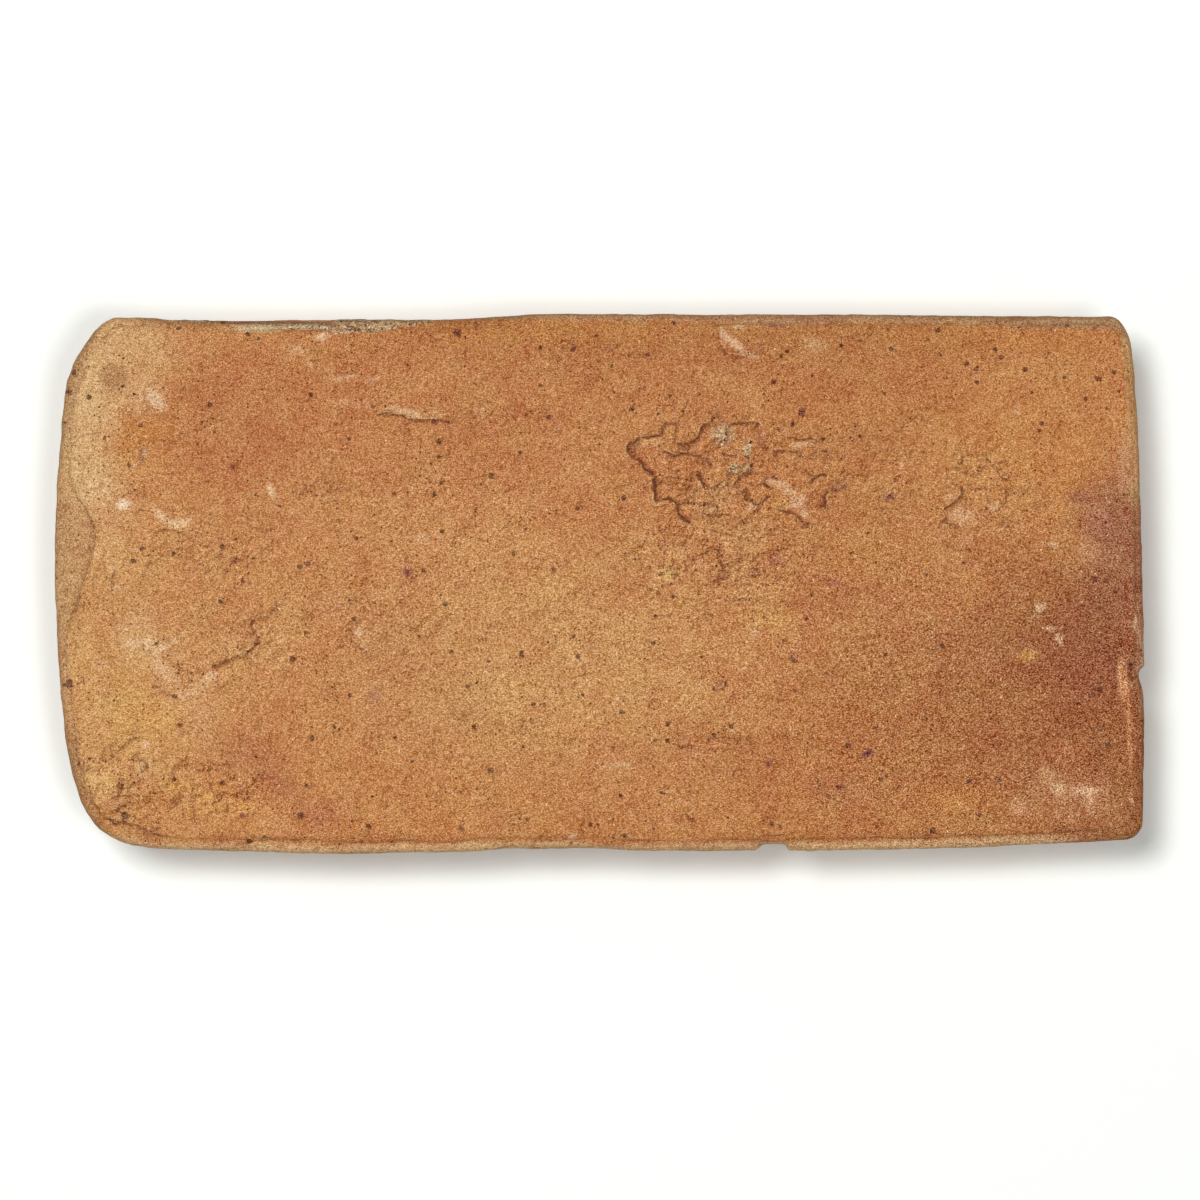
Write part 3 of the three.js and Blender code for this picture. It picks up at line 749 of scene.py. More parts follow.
STAINS = made(
    Stain,
    # Broad colour from the kiln.
    ((-104, 33, 10, 26), (209, 170, 125), 0.9), ((-96, 48, 14, 8), (207, 165, 116), 0.8),
    ((-92, 27, 7, 9, 30), (190, 128, 74), 0.8), ((-92, -14, 24, 34), (199, 145, 94), 0.8),
    ((-12, -17, 32, 20), (195, 143, 92), 0.9), ((-34, 34, 56, 20), (184, 121, 77), 0.7),
    ((-68, 28, 18, 14), (186, 121, 77), 0.7), ((-62, -45, 40, 8), (190, 128, 78), 0.6),
    ((50, -42, 50, 14), (175, 111, 63), 0.7), ((92, -22, 30, 26), (152, 88, 47), 0.85),
    ((103, -10, 12, 12), (140, 79, 50), 0.75), ((106, 14, 8, 10), (150, 95, 70), 0.8),
    ((104, 3, 6, 9), (146, 90, 68), 0.5), ((100, -19, 9, 5), (152, 86, 58), 0.5),
    ((-36, 10, 32, 11), (194, 138, 90), 0.5), ((26, 9, 14, 6), (190, 132, 84), 0.35),
    ((48, 47, 22, 7), (170, 108, 66), 0.55), ((-2, 48, 26, 6), (174, 113, 70), 0.5),
    ((55, 36, 13, 8), (176, 112, 68), 0.6), ((-72, 30, 12, 13), (178, 115, 74), 0.5),
    ((54, -2, 14, 18), (173, 112, 67), 0.6), ((-71, -13, 13, 8), (204, 151, 101), 0.5),
    ((-40, -17, 9, 13), (185, 126, 82), 0.5), ((-7, -12, 10, 6), (187, 129, 83), 0.35),
    ((12, -42, 15, 8), (196, 141, 91), 0.55), ((104, -32, 11, 22), (143, 80, 45), 0.45),
    ((-103, -28, 5, 13), (209, 162, 110), 0.5), ((25, 6, 10, 9), (196, 138, 90), 0.35),
    ((-72, -25, 9, 4), (186, 124, 79), 0.4), ((-105, -11, 5, 9), (198, 150, 98), 0.5),
    # Lighter and darker spots.
    ((109.6, -18, 1.3, 9), (208, 172, 144), 0.6), ((-92, 37.6, 4.6, 3, 10), (214, 168, 124), 0.6),
    ((94.4, -33.8, 4.4, 2.2), (186, 122, 78), 0.45), ((-80, -8, 8, 8), (184, 120, 74), 0.35),
    ((-96, -2, 6, 4.5), (182, 122, 76), 0.4), ((-95.6, -20, 4, 6), (188, 130, 76), 0.35),
    ((-73, -18, 4, 3), (184, 122, 72), 0.3), ((-2.3, -28.4, 3.4, 2.2), (210, 162, 102), 0.5),
    ((-65, -47.8, 3.6, 2.4), (208, 154, 104), 0.5), ((-53.7, -4.6, 2.8, 2.6), (206, 154, 110), 0.5),
    ((-93.6, -40.6, 4.6, 2.2, 35), (184, 124, 88), 0.5, 0.5),
    ((-98.2, -43.6, 2.6, 1.6, 40), (180, 124, 92), 0.45, 0.5),
    ((-49.2, 16.4, 4, 2.6), (178, 112, 66), 0.4), ((18, 38.4, 4.4, 2.6), (166, 100, 66), 0.4),
    ((53, -41.8, 4.4, 3), (160, 96, 56), 0.4), ((-82.3, -44.2, 3, 2.2), (176, 112, 76), 0.4),
    ((-27, -24, 5, 3), (176, 120, 78), 0.4), ((-101, 30.7, 3.4, 4), (216, 176, 126), 0.5),
    ((77, -16, 4.4, 2.6), (188, 132, 86), 0.4), ((83, -18, 3, 3), (158, 98, 58), 0.35),
    ((107.8, -44, 1.2, 3), (192, 124, 74), 0.5), ((-91, -49.6, 4, 1.6), (200, 148, 102), 0.45),
    ((-86.4, -40.6, 2.2, 1.4), (214, 164, 92), 0.5, 0.4),
    ((-80.6, -42.6, 2.6, 1.2, -20), (214, 162, 92), 0.55, 0.4),
    ((-72.4, -45.6, 2.6, 1.4), (210, 158, 94), 0.5, 0.4), ((74.6, -1.6, 3.4, 2.2), (196, 138, 80), 0.4),
    ((87, -42.6, 2.6, 1.8), (160, 98, 60), 0.4), ((84, -11.6, 3, 1.6), (156, 96, 60), 0.35),
    ((34, -5, 4, 2.4), (176, 116, 68), 0.4), ((-82, -42.4, 2.4, 1.6), (178, 114, 72), 0.35),
    ((-18.7, -48.3, 4, 2), (166, 106, 72), 0.4), ((-51.5, -43, 4, 2), (176, 110, 72), 0.35),
    ((-41.4, -11.6, 3, 3), (176, 116, 74), 0.35), ((-94.5, 29.5, 6, 4, 20), (186, 122, 64), 0.5),
    ((-92.4, 25.6, 0.7, 2, -15), (140, 82, 70), 0.75, 0.4),
    ((-104.6, -37, 0.9, 5, 12), (168, 104, 80), 0.55), ((-80, 3, 4, 3), (182, 120, 74), 0.3),
    # Ochre, and a painted highlight on a raised lump at (-101.8, -38.4).
    ((-98, -30, 7, 14, 10), (202, 152, 94), 0.5), ((-101.8, -38.4, 2, 5, 15), (212, 168, 112), 0.55),
    ((-90, -27, 7, 5), (206, 152, 90), 0.5), ((-77, -44, 6, 3), (206, 148, 84), 0.4),
    ((-93, -34, 4, 3), (208, 158, 104), 0.5), ((72, -44, 6, 3), (194, 136, 74), 0.5),
    ((36.5, 16.6, 1.8, 1.2), (200, 148, 84), 0.7), ((14, 2, 1.6, 1.1), (214, 168, 104), 0.9),
    ((33, -7, 5, 2), (204, 150, 90), 0.45), ((66, -7, 6, 2), (194, 138, 82), 0.15),
    ((86.8, -14.2, 1.9, 1.2), (206, 150, 80), 0.6, 0.5), ((68, 2, 9, 3), (190, 134, 80), 0.25),
    ((52, 6, 12, 4), (190, 134, 78), 0.3), ((86, 26, 14, 10), (192, 132, 76), 0.5),
    ((80, 50, 24, 3), (184, 122, 66), 0.45), ((-10, 51, 26, 2.5), (192, 128, 70), 0.6),
    ((56, -24, 18, 10), (169, 107, 60), 0.7),
    # Purple and brown.
    ((-98, 41.4, 2.9, 3), (174, 124, 84), 0.95, 0.3), ((-71, -34, 7, 4, -20), (172, 104, 72), 0.6),
    ((-65, -40.5, 5, 2.4, -25), (166, 98, 72), 0.6), ((-57, -46, 5, 3), (172, 106, 78), 0.5),
    ((47, -41, 5, 3), (160, 96, 70), 0.5), ((97, 17.6, 2.6, 1.4), (150, 86, 66), 0.6),
    ((35, 4.6, 1.4, 1), (168, 100, 84), 0.7), ((46.8, 0.4, 1.6, 0.6), (166, 96, 84), 0.7),
    ((58.3, 17.3, 1.2, 1), (140, 82, 76), 0.7), ((-38.9, 2.1, 1, 0.9), (150, 80, 78), 0.8),
    ((-45.2, -22.6, 1.6, 1.2), (168, 104, 88), 0.6), ((31.7, 29.8, 0.7, 1.8), (166, 106, 84), 0.7),
    ((6.6, 27, 1.2, 1.4), (150, 92, 70), 0.6), ((48.4, 19.8, 1.8, 0.9), (150, 90, 70), 0.7),
    ((28, -41, 26, 5), (180, 114, 70), 0.4), ((24.2, -20.4, 1.5, 0.8, 30), (146, 88, 54), 0.7, 0.4),
    ((53.8, -34.3, 1.5, 0.7, 20), (118, 60, 54), 0.8, 0.35),
    ((34.5, -35.7, 1, 0.7), (140, 80, 66), 0.5, 0.5),
    # Pale, soft.
    ((104, -48, 10, 7), (150, 89, 50), 0.6), ((94, -43, 11, 5.5, -12), (178, 120, 80), 0.45),
    ((91.4, -39.9, 3.6, 1.3, -52), (192, 140, 100), 0.75, 0.5),
    ((97.4, -41.7, 4.4, 1.2, -3), (190, 136, 96), 0.75, 0.45),
    ((99.2, -44.8, 1.5, 2.8, 18), (190, 136, 94), 0.75, 0.5),
    ((84.2, -45.4, 1.9, 1.4, -30), (206, 154, 114), 0.65, 0.5),
    ((94.8, -45.8, 2.2, 2.2), (184, 128, 90), 0.55, 0.6),
    ((105.3, -19.2, 0.9, 4.4, 6), (208, 146, 100), 0.85, 0.35),
    ((106.3, -29, 0.42, 6.6), (200, 136, 90), 0.85, 0.4), ((109.2, -6, 1.2, 7), (184, 132, 100), 0.55),
    ((-84, 53, 8, 1.2), (160, 118, 76), 0.6, 0.4), ((14, 50.2, 56, 3.2), (170, 110, 66), 0.5),
    ((98.5, 7, 2, 2.6), (196, 144, 104), 0.6), ((101.4, 14, 1.6, 3, 20), (178, 118, 90), 0.6),
    ((-91.5, -10, 4, 6), (208, 162, 116), 0.6), ((-86, -20, 3, 5, -20), (206, 160, 114), 0.5),
    ((-81.5, -26, 4, 5), (202, 152, 108), 0.5), ((-102, 19, 3, 2), (218, 178, 134), 0.7),
    ((-107, 0, 1.1, 2.6), (200, 154, 112), 0.7), ((106.2, 24, 1.6, 5, -4), (196, 146, 106), 0.7),
    ((24, 19, 4, 2.4), (200, 150, 104), 0.5), ((-66, 51.6, 8, 0.6), (200, 182, 148), 0.8),
    ((-58.4, 52.2, 3, 0.35, 8), (244, 234, 206), 0.9), ((10, 28.4, 2.4, 1), (208, 160, 112), 0.7),
    ((-96.2, 16, 1.1, 0.9), (248, 236, 212), 0.95, 0.4),
    ((-89.3, 37.1, 2.0, 0.9, -52), (232, 206, 170), 0.6, 0.5),
    ((35.4, 52.4, 3.2, 0.7), (128, 84, 74), 0.6, 0.4), ((73.6, 1.2, 1.6, 1), (206, 150, 84), 0.5, 0.5),
    ((91.4, 7.8, 1.4, 0.6, -10), (206, 156, 122), 0.7, 0.4),
    ((79.8, 15.2, 1.5, 1.2), (204, 156, 108), 0.5, 0.5),
)

PALE = patches(
    (0.9, -89.4, 36.8, 2.8, 1.2, -52), (1, -89.6, 37.4, 1.6, 1, -52), (0.9, -91.8, 26.4, 0.35, 1.3, -15),
    (1, -96.2, 16.2, 1.5, 1), (0.8, -88.4, 13.6, 2.4, 0.8, -38), (0.8, -84.8, 12, 2.4, 0.9, 10),
    (0.7, -66, 18.2, 0.9, 1.9, 20), (0.6, -98.6, 2.8, 0.9, 0.8), (0.7, -97.6, -1, 0.7, 0.6),
    (1, -93.8, 6.4, 1, 0.25, 40), (1, -101.3, 5.7, 0.9, 0.25, -45), (0.5, -96.4, -8.6, 2.4, 1.2, -12),
    (0.7, -94, -12, 1.8, 1.3), (1, -91, -12.2, 1.1, 0.9), (0.6, -87.4, -12.4, 4.2, 1.1, 32),
    (0.6, -88.4, -17, 1.3, 3.2, 32), (0.95, -78.7, -18.8, 1.8, 1, 20), (0.45, -82.2, -21.6, 3.4, 1.2, 30),
    (0.4, -100.8, -16.2, 2.2, 1.4), (0.9, -91.9, -32.6, 1, 0.8), (0.6, -92.6, -36.9, 1.2, 0.7),
    (1, -105.2, -39.9, 0.3, 0.5), (0.9, -56, 49.6, 1.5, 0.8, 20), (0.6, -58, 44, 0.6, 1.9, 30),
    (0.6, -51.5, 41.6, 3, 0.7, 5), (0.5, -46, 41.2, 2, 0.6, 30), (0.45, -61, 47, 2.4, 0.9, 10),
    (0.75, -39.2, 34.6, 4.6, 0.8, -13), (0.6, -32.6, 34.3, 2.4, 0.3, -10),
    (0.4, -50.5, 36.4, 4.8, 0.9, -6), (0.35, -24.2, 34.4, 1.6, 1.6), (0.6, -53.6, 26.8, 0.7, 0.8),
    (0.6, -54, 17, 1.4, 0.5, 20), (0.5, -36, 9.2, 1.6, 0.8), (0.6, -48.6, -9.8, 1, 1.5, 20),
    # The thin patch at (-47.6, -12.6) is a painted highlight on a lit ridge.
    (1, -47.6, -12.6, 1.5, 0.2, -50), (0.8, -36.6, 0.9, 0.7, 0.3, -30), (0.9, 25, 50.2, 2.2, 0.8, -60),
    (0.8, 27.8, 47.8, 2.6, 1, -40), (0.8, 28, 52, 1.6, 0.6), (1, 45.8, 47.6, 0.25, 0.4),
    (0.35, 43.4, 48, 2.2, 1.8), (0.7, 35.4, 20.4, 2.8, 0.8, -12), (0.7, 38, 18.8, 2, 1, -30),
    (0.65, 39.8, 16.6, 1.9, 1.9), (0.6, 41.2, 14.2, 1.1, 1.3), (0.6, 40.4, 27.9, 2.4, 0.8),
    (0.6, 22.8, 15.1, 0.9, 0.7), (1, 29.7, 27.3, 0.7, 0.9), (0.7, 30.2, 15.2, 0.9, 0.8),
    (0.55, 73.2, 14, 3, 2.3), (0.4, 73, 8.9, 2.5, 1.3), (0.5, 70.4, 17.3, 1.3, 0.8, 20),
    (0.5, 79.4, 15.3, 1.2, 1.1), (0.7, 84.2, 34.5, 1, 0.5, -30), (0.9, 82.4, 42.4, 0.9, 0.4, -15),
    (1, 61, 23.6, 0.2, 0.7, 15), (0.7, 91.4, 8, 1.2, 0.5), (1, 91.2, -9.3, 1.2, 0.5, -16),
    (1, 92.7, -11.4, 0.55, 1.7, 22), (0.6, 88.9, -5, 1.3, 1, 35), (0.6, 87.6, -6.6, 0.9, 0.6),
    (0.8, 97, -3.9, 0.8, 0.3, 15), (0.9, 76.3, -23.4, 0.5, 0.25), (0.6, 92.2, -41.6, 1.6, 1.4, -30),
    (0.6, 97.6, -42, 3.4, 1, 5), (0.6, 98.8, -44.4, 1, 2.2, 15), (0.7, 30.4, 46, 2.2, 0.7, -15),
    (0.6, 107.2, -44, 0.6, 1.4), (0.45, 105, -19, 0.6, 3.4, 5), (1, 108.4, -7.8, 0.9, 1.9),
    (0.8, 108.8, -13.2, 0.5, 2.2), (0.5, 107.5, -20.4, 0.9, 0.9), (0.6, 3.6, -23.2, 0.5, 0.8),
    (0.55, 3.5, -36.8, 4.2, 0.8), (0.5, 31.2, -9.9, 1.7, 1.2), (0.3, 20, -34.3, 8, 0.7, -4),
    (0.7, 59.6, -51.6, 2, 0.6), (0.8, -5.6, -51.6, 1.6, 0.8, 60),
)

# Where the sand stands out more.
GRAINY = patches(
    (0.38, 88, -24, 48, 34), (0.14, -10, -12, 60, 34),
)

GRITTY = patches(
    (0.9, 24.8, 30, 2.4, 2.2), (0.5, 24, 33.2, 0.8, 1.4), (0.7, 29.8, 26.8, 0.9, 2.2),
    (1, 27.4, 23.2, 1.4, 0.9), (0.9, 29, 23, 1.6, 0.7, 20), (0.45, 23.6, 19.4, 2.2, 1.6),
    (0.5, 9.9, 22.9, 1.2, 0.7, -40),
)

SPECKS = made(
    Speck,
    (-74, 23.4, 0.5, 0.6), (-80.3, 32.6, 0.4), (-71.1, 50.3, 0.4), (-93.9, 38.3, 0.25), (-108, 32.5, 0.3),
    (-107.2, 38.7, 0.7, 0.3), (-106.3, 42.6, 0.6, 0.6), (-92.3, 7, 0.5), (-64.7, 15.6, 0.35),
    (-60.5, 3.4, 0.5), (-58.9, 3.8, 0.6, 0.8), (-92.9, 31.9, 0.5, 0.8), (-78.6, 36.2, 0.5),
    (-62, -15.3, 0.5), (-84.6, -28.6, 0.5, 0.8), (-88.9, -24.6, 0.3), (-95.8, -46.9, 0.8, 0.2),
    (-102.9, -35.4, 0.35), (-76.1, -40.3, 0.5), (-72.2, -46.7, 0.5, 0.9), (-70.7, -52, 0.6),
    (-85.9, -39.5, 0.4), (-60.5, -46.9, 0.7), (-53.7, -28.8, 0.5, 0.4), (-52.6, -29.4, 0.3),
    (-28.8, 50.3, 0.7, 0.4), (-5.3, 47.4, 0.7, 0.9), (-12.1, 47.7, 0.45), (-12, 40, 0.4),
    (-32.3, 28.6, 0.6), (-10.2, 33.6, 0.5, 0.8), (-33.5, 32.8, 0.5, 0.9), (-21.9, 21.8, 0.6),
    (-38.8, 18.4, 0.3), (-33.5, 18, 0.45), (-16.1, 26.4, 0.3), (-4.6, 15.3, 0.4), (-35.6, 2.5, 0.5),
    (-38.9, 2.1, 0.5, 0.9), (-9.4, 2.9, 0.5, 0.9), (-17.3, 6.1, 0.45), (-49.1, 9, 0.4, 0.3),
    (-45.8, 35.7, 0.35), (-27.4, 43.8, 0.4), (-15.9, -14.3, 0.6), (-10.4, -11.8, 0.3),
    (-22.5, -15.7, 0.45, 0.6), (-29, -10, 0.35), (-36.5, -10.6, 0.35), (-30, -13.7, 0.35),
    (-25.4, -28.9, 0.4), (-38.3, -26, 0.35), (-26.8, -20.8, 0.35), (-27.6, -49.7, 0.6, 0.9),
    (-46.6, -49, 0.45), (-1.9, -48.6, 0.45), (-0.3, -48.8, 0.35), (-3.5, -22.4, 0.3), (-37.8, -35.7, 0.35),
    (6.3, 35.2, 0.5), (34.9, 40.7, 0.5, 0.5), (40.7, 34.5, 0.7, 0.5), (54.1, 10.2, 0.3),
    (10.8, -11.8, 0.5), (38.9, -15.2, 0.6, 0.7), (41.8, -7.2, 0.35), (68.1, 51, 0.5), (79.7, 47.2, 0.5),
    (80.9, 45.6, 0.45, 0.9), (73.8, 44.4, 0.45), (76, 43.5, 0.55, 0.5), (68.5, 46.2, 0.4),
    (100.4, 41.2, 0.6, 0.4), (98, 37.2, 0.4), (89.1, 32.4, 0.4, 0.5), (88.7, 30.8, 0.3), (87.1, 38.4, 0.3),
    (82.3, 11.4, 0.35), (58.4, 17.6, 0.5, 0.9), (105.6, 17.9, 0.35), (99.8, 1, 0.5, 0.5),
    (51.4, 31.8, 0.4), (52.6, 48.9, 0.35), (73.3, 4.2, 0.35), (76.1, 40.6, 0.35), (104.6, 38.6, 0.3),
    (53.9, -34.3, 0.7, 0.9), (69, -12.5, 0.5), (100.6, -21.2, 0.65, 0.3), (99.2, -22.4, 0.35),
    (96.6, -24.2, 0.5), (74.4, -39.8, 0.45), (80.4, -39.7, 0.35), (101, -29.7, 0.35), (102.5, -32.5, 0.5),
    (67.1, -49.9, 0.5), (33.9, -36.5, 0.5, 0.6), (13.6, -28.3, 0.5, 0.6), (22.9, -30.6, 0.45),
    (10.8, -49.5, 0.4), (26.5, -28.8, 0.5, 0.6), (56.6, -39.6, 0.4), (48.2, -41.2, 0.6, 0.8),
    (34.5, -48.4, 0.4, 0.7), (36.3, -49, 0.3), (4.2, -42.8, 0.35), (14.9, 52.6, 0.4), (36.5, 45.8, 0.35),
    (37.8, 46.8, 0.35), (48.6, 47.9, 0.4), (42.8, 42, 0.35), (14, 37.7, 0.4), (11.8, 34.2, 0.3),
    (-0.8, 50, 0.4), (9.7, 46.2, 0.5, 0.6), (-107.3, -20.3, 0.9, 0.3), (107, -16.6, 0.6, 0.3),
    (30.4, 28.5, 0.4), (29.8, 25.5, 0.45), (-98, -23.6, 0.3), (-50.2, 10.5, 0.25), (-99.9, 29.4, 0.3),
    (-96.4, 18.2, 0.25), (-73.4, 9, 0.35), (-72, 0.3, 0.4, 0.5), (-89.4, -12.2, 0.3), (42.6, -2.3, 0.4),
    (11.2, -6.6, 0.4), (14.8, -2.6, 0.4), (50.6, 6.2, 0.3), (45, 29.1, 0.35), (50.5, 29.4, 0.3),
    (52.3, 29.8, 0.3), (45.5, 26.8, 0.35), (38.8, 32.2, 0.4, 0.3), (36, 31.2, 0.3),
)

SPECK_SETS = 2
TEAR_SETS = 5
TOWARDS_LIGHT = (-0.74, 0.67, 0.0)
ABOVE_ZERO = 40  # whole steps that keep a field above zero before it is cut

# How far the south lip swells out beyond its plan, in millimetres, at places along the length.
SOUTH_SWAY = (
    (-92, -84, -66, -50, -34, -18, -4, 10, 22, 30, 42, 56, 74, 96),
    (0.2, 0.5, 0.4, 0.4, 0.1, -0.5, -0.4, 0.0, 0.1, 0.1, 0.3, 0.2, 0.5, 0.3),
)

# How wide the pale crest of the south lip is, at places along the length.
LIP_WIDTH = ((-90, -48, -38, -8, 2, 64, 92, 104), (1.3, 1.3, 1.7, 1.9, 1.4, 1.4, 1.1, 0.6))

EDGINGS = (
    # The pale crest of the south lip.
    Edging(Way.SOUTH, LIP_WIDTH, (208, 168, 124), 0.8, ((-104, -94), (104, 88))),
    # The dusty brown crown along the north edge.
    Edging(
        Way.NORTH,
        ((-40, -24, 4, 22, 36, 46, 58, 80, 95, 105), (0.7, 1.0, 1.2, 1.4, 2.3, 1.9, 1.4, 2.2, 2.7, 2.8)),
        (172, 126, 92), 0.85, ((-44, -36),), sway=0.8, second=(166, 128, 94), turns=((-6, -18), (54, 70)),
    ),
    # The bare worn arris in its hollow.
    Edging(
        Way.NORTH, ((-82, -70, -56, -50), (1.39, 2.06, 2.2, 2.17)), (134, 94, 76), 0.85,
        ((-82, -74), (-52, -56)), fade=0.25, sway=0.3,
    ),
    # The west lip, darker where its corners are folded, and the bevel bruised into it.
    Edging(
        Way.WEST, ((0,), (2.4,)), (196, 152, 106), 0.7, second=(174, 130, 90), turns=((-26, -34), (24, 32))
    ),
    Edging(
        Way.WEST, ((-16, -7, -5, 0, 6, 10, 14, 17), (1.0, 2.2, 4.4, 5.4, 7.0, 8.0, 6.4, 2.0)),
        (187, 141, 100), 0.65, ((19, 15), (-18, -12)), fade=0.4, sway=1.1,
    ),
    # The east arris, paler to the north and darker to the south.
    Edging(Way.EAST, ((0,), (2.3,)), (194, 148, 100), 0.7, ((12, 20),)),
    Edging(Way.EAST, ((0,), (2.4,)), (150, 88, 48), 0.45, ((-14, -24),), fade=0.6),
)

# How far old mortar reaches in from the worn north edge, in millimetres, at places along the length.
MORTAR_BAND = (
    (-92, -86, -80, -72, -64, -58, -54, -50, -44, -40, -36, -28),
    (0.0, 0.5, 0.8, 1.0, 1.3, 1.9, 2.5, 2.6, 2.2, 1.3, 0.7, 0.0),
)

CHIPS = (
    Chip(Way.SOUTH, depth=1.25, start=(31.2, 33.4), end=(38.3, 37.2), fade=(5, 1.9)),
    Chip(Way.EAST, depth=1.1, start=(-23.5, -18.6), end=(-16.6, -17.8), fade=(4, 1.1)),
)


@dataclass(frozen=True)
class Wear:
    """Where the north arris is worn in."""

    middle: float = -56.0
    reach: float = 42.0
    depth: float = 1.3

    def inset(self, x: Array) -> Array:
        """How far it draws the arris in: a parabola over its reach each way from its middle."""
        return self.depth * np.clip(1 - ((x - self.middle) / self.reach) ** 2, 0, 1)


@dataclass
class Marks:
    """What the relief and the colour fields say at each place: millimetres, shares and colours."""

    height: Array
    tint: Array
    shade: Array
    ledge: Array
    crinkle: Array
    pale: Array
    crust: Array
    grit: Array
    tears: tuple[Array, ...]
    specks: tuple[Array, ...]


@dataclass(frozen=True)
class ClayMarks:
    """Works out every mark of the clay at the places of a skin."""

    plan: Plan
    section: Section

    # Relief: pressed undulation, drag along the length, sand, then ledges torn in terraces.
    pressed: Wave = Wave(1, 0.34, 42)
    dragged: Wave = Wave(2, 0.10, (14, 5, 5), 4)
    sanded: Wave = Wave(3, 0.05, 2.6)
    edge_warp: Wave = Wave(40, 0.35, 1.6)
    ledge_warp: Wave = Wave(60, 2.4, 7)
    ledge_field: Wave = Wave(21, 1, (8, 6, 6), 4, 0.55)
    ledge_count: float = 2.6
    ledge_depth: float = 0.756
    ledge_front: Pair = (0.72, 1.0)
    reads: tuple[float, ...] = (0.0, 0.7, -0.35)
    crinkle_least: float = 0.112
    crinkle_swing: Wave = Wave(22, 0.128, 26, 2)
    crinkle_warp: Wave = Wave(80, 3, 9)
    striation: Wave = Wave(25, 0.14, (9, 1.1, 1.1))
    pit_softness: float = 0.2
    flake_depth: float = 0.7
    flake_edge: Pair = (-0.2, 0.8)
    flake_floor: Pair = (0.75, 0.55)

    # Tears and specks. A place far from all of them keeps the far value.
    tear_reach: float = 1.6
    tear_step: float = 0.3
    tear_scale: float = 1.7
    tear_margin: float = 6.0
    tear_far: float = 3.0
    tear_end: Pair = (-0.2, 1.0)
    line_end: Pair = (0, 0.5)
    shade_width: float = 1.3
    speck_reach: float = 6.0
    speck_far: float = 9.0

    # Old mortar, and the least grit.
    crust_height: float = 0.15
    crust_grain: Wave = Wave(26, 1, 1.6)
    crust_sway: Wave = Wave(95, 5, 12)
    crust_band: Pair = (34, 44)
    crust_least: float = 0.3
    crust_ends: Pair = (-94, -34)
    crust_gap: tuple[Pair, Pair] = ((-82, -74), (-52, -56))
    crust_gap_reach: Pair = (1.0, 0.5)
    wear: Wear = Wear()
    grit_least: float = 0.78

    # Colour.
    stain_warp: Wave = Wave(90, 4, 14)
    side_tone: Wave = Wave(96, 1, (26, 26, 15), 5)
    moulded: tuple[Tone, Tone, Tone] = ((196, 130, 82), (172, 107, 68), (208, 150, 98))
    moulded_band: Pair = (3, 5.5)
    moulded_share: float = 0.8
    wall_away: float = 50.0
    edging_sway: Wave = Wave(97, 0.5, 6)
    stain_drift: float = 0.2
    side_darker: Pair = (0.05, 0.5)
    side_lighter: Pair = (-0.1, -0.6)

    # The shade behind the south lip: how far back it lies, how far it runs each way, how deep it is.
    hollow_swing: Wave = Wave(98, 0.9, 14)
    hollow_back: float = 0.5
    hollow_sway: float = 0.4
    hollow_run: Pair = (0.7, 2.2)
    hollow_start: Pair = (-102, -84)
    hollow_shade: float = 0.5
    hollow_level: float = 0.45
    hollow_side: float = 0.6

    def strongest(self, start: Array, marks: tuple, read: Callable[[Patch], Array]) -> Array:
        """The greatest of a starting value and of every patch's strength times its reading."""
        return reduce(np.maximum, (strength * read(patch) for patch, strength in marks), start)

    def rolling(self, places: Array, ahead: float) -> Array:
        """The field that the torn ledges are cut from, read `ahead` millimetres towards the light."""
        moved = places + ahead * np.array(TOWARDS_LIGHT)
        return self.ledge_field.at(self.ledge_warp.warp(moved))

    def read(self, places: Array, up: Array) -> Marks:
        """Reads every field at the places of the skin.

        Args:
            places: In millimetres.
            up: How far each place belongs to the struck face, from 0 to 1.

        Returns:
            The marks.
        """
        ragged = self.edge_warp.warp(places)
        height = self.pressed.at(places) * up + self.dragged.at(places) + self.sanded.at(places)
        fields = np.column_stack([self.rolling(places, ahead) for ahead in self.reads])
        ledge = fields * self.ledge_count + ABOVE_ZERO
        crinkle = self.crinkle(places, up)
        height += self.ledge_depth * crinkle * terraced(ledge[:, 0], self.ledge_count, self.ledge_front)
        height -= self.flake(ragged, fields[:, 0]) * up

        shade, tears = self.tear(ragged, height, up)
        for pit in PITS:
            height -= pit.depth * pit.patch.soft(ragged, self.pit_softness) * up
        height += STRIATIONS.soft(places) * self.striation.at(places) * up
        pale = self.strongest(np.zeros(len(places)), PALE, lambda patch: patch.level(ragged) * up)
        crust = self.strongest(self.crust(ragged), GRITTY, lambda patch: patch.level(ragged) * up)
        height += self.crust_height * crust * (self.crust_least + self.crust_grain.at(places))
        tint, rim_shade = self.tint(places, up)
        grit = self.grit_least + sum(strength * patch.soft(places) for patch, strength in GRAINY)
        specks = tuple(self.specks(places, SPECKS[k::SPECK_SETS]) for k in range(SPECK_SETS))
        shade = np.maximum(shade, rim_shade)
        return Marks(height, tint, shade, ledge, crinkle, pale, crust, grit, tears, specks)

    def crinkle(self, places: Array, up: Array) -> Array:
        """How far the skin is torn into ledges: a little everywhere, and more in each named patch.

        Args:
            places: In millimetres.
            up: How far each place belongs to the struck face.

        Returns:
            A share for each place.
        """
        curdled = self.crinkle_warp.warp(places)
        least = (self.crinkle_least + self.crinkle_swing.at(places)) * up
        return self.strongest(least, CRINKLES, lambda patch: patch.soft(curdled) * up)

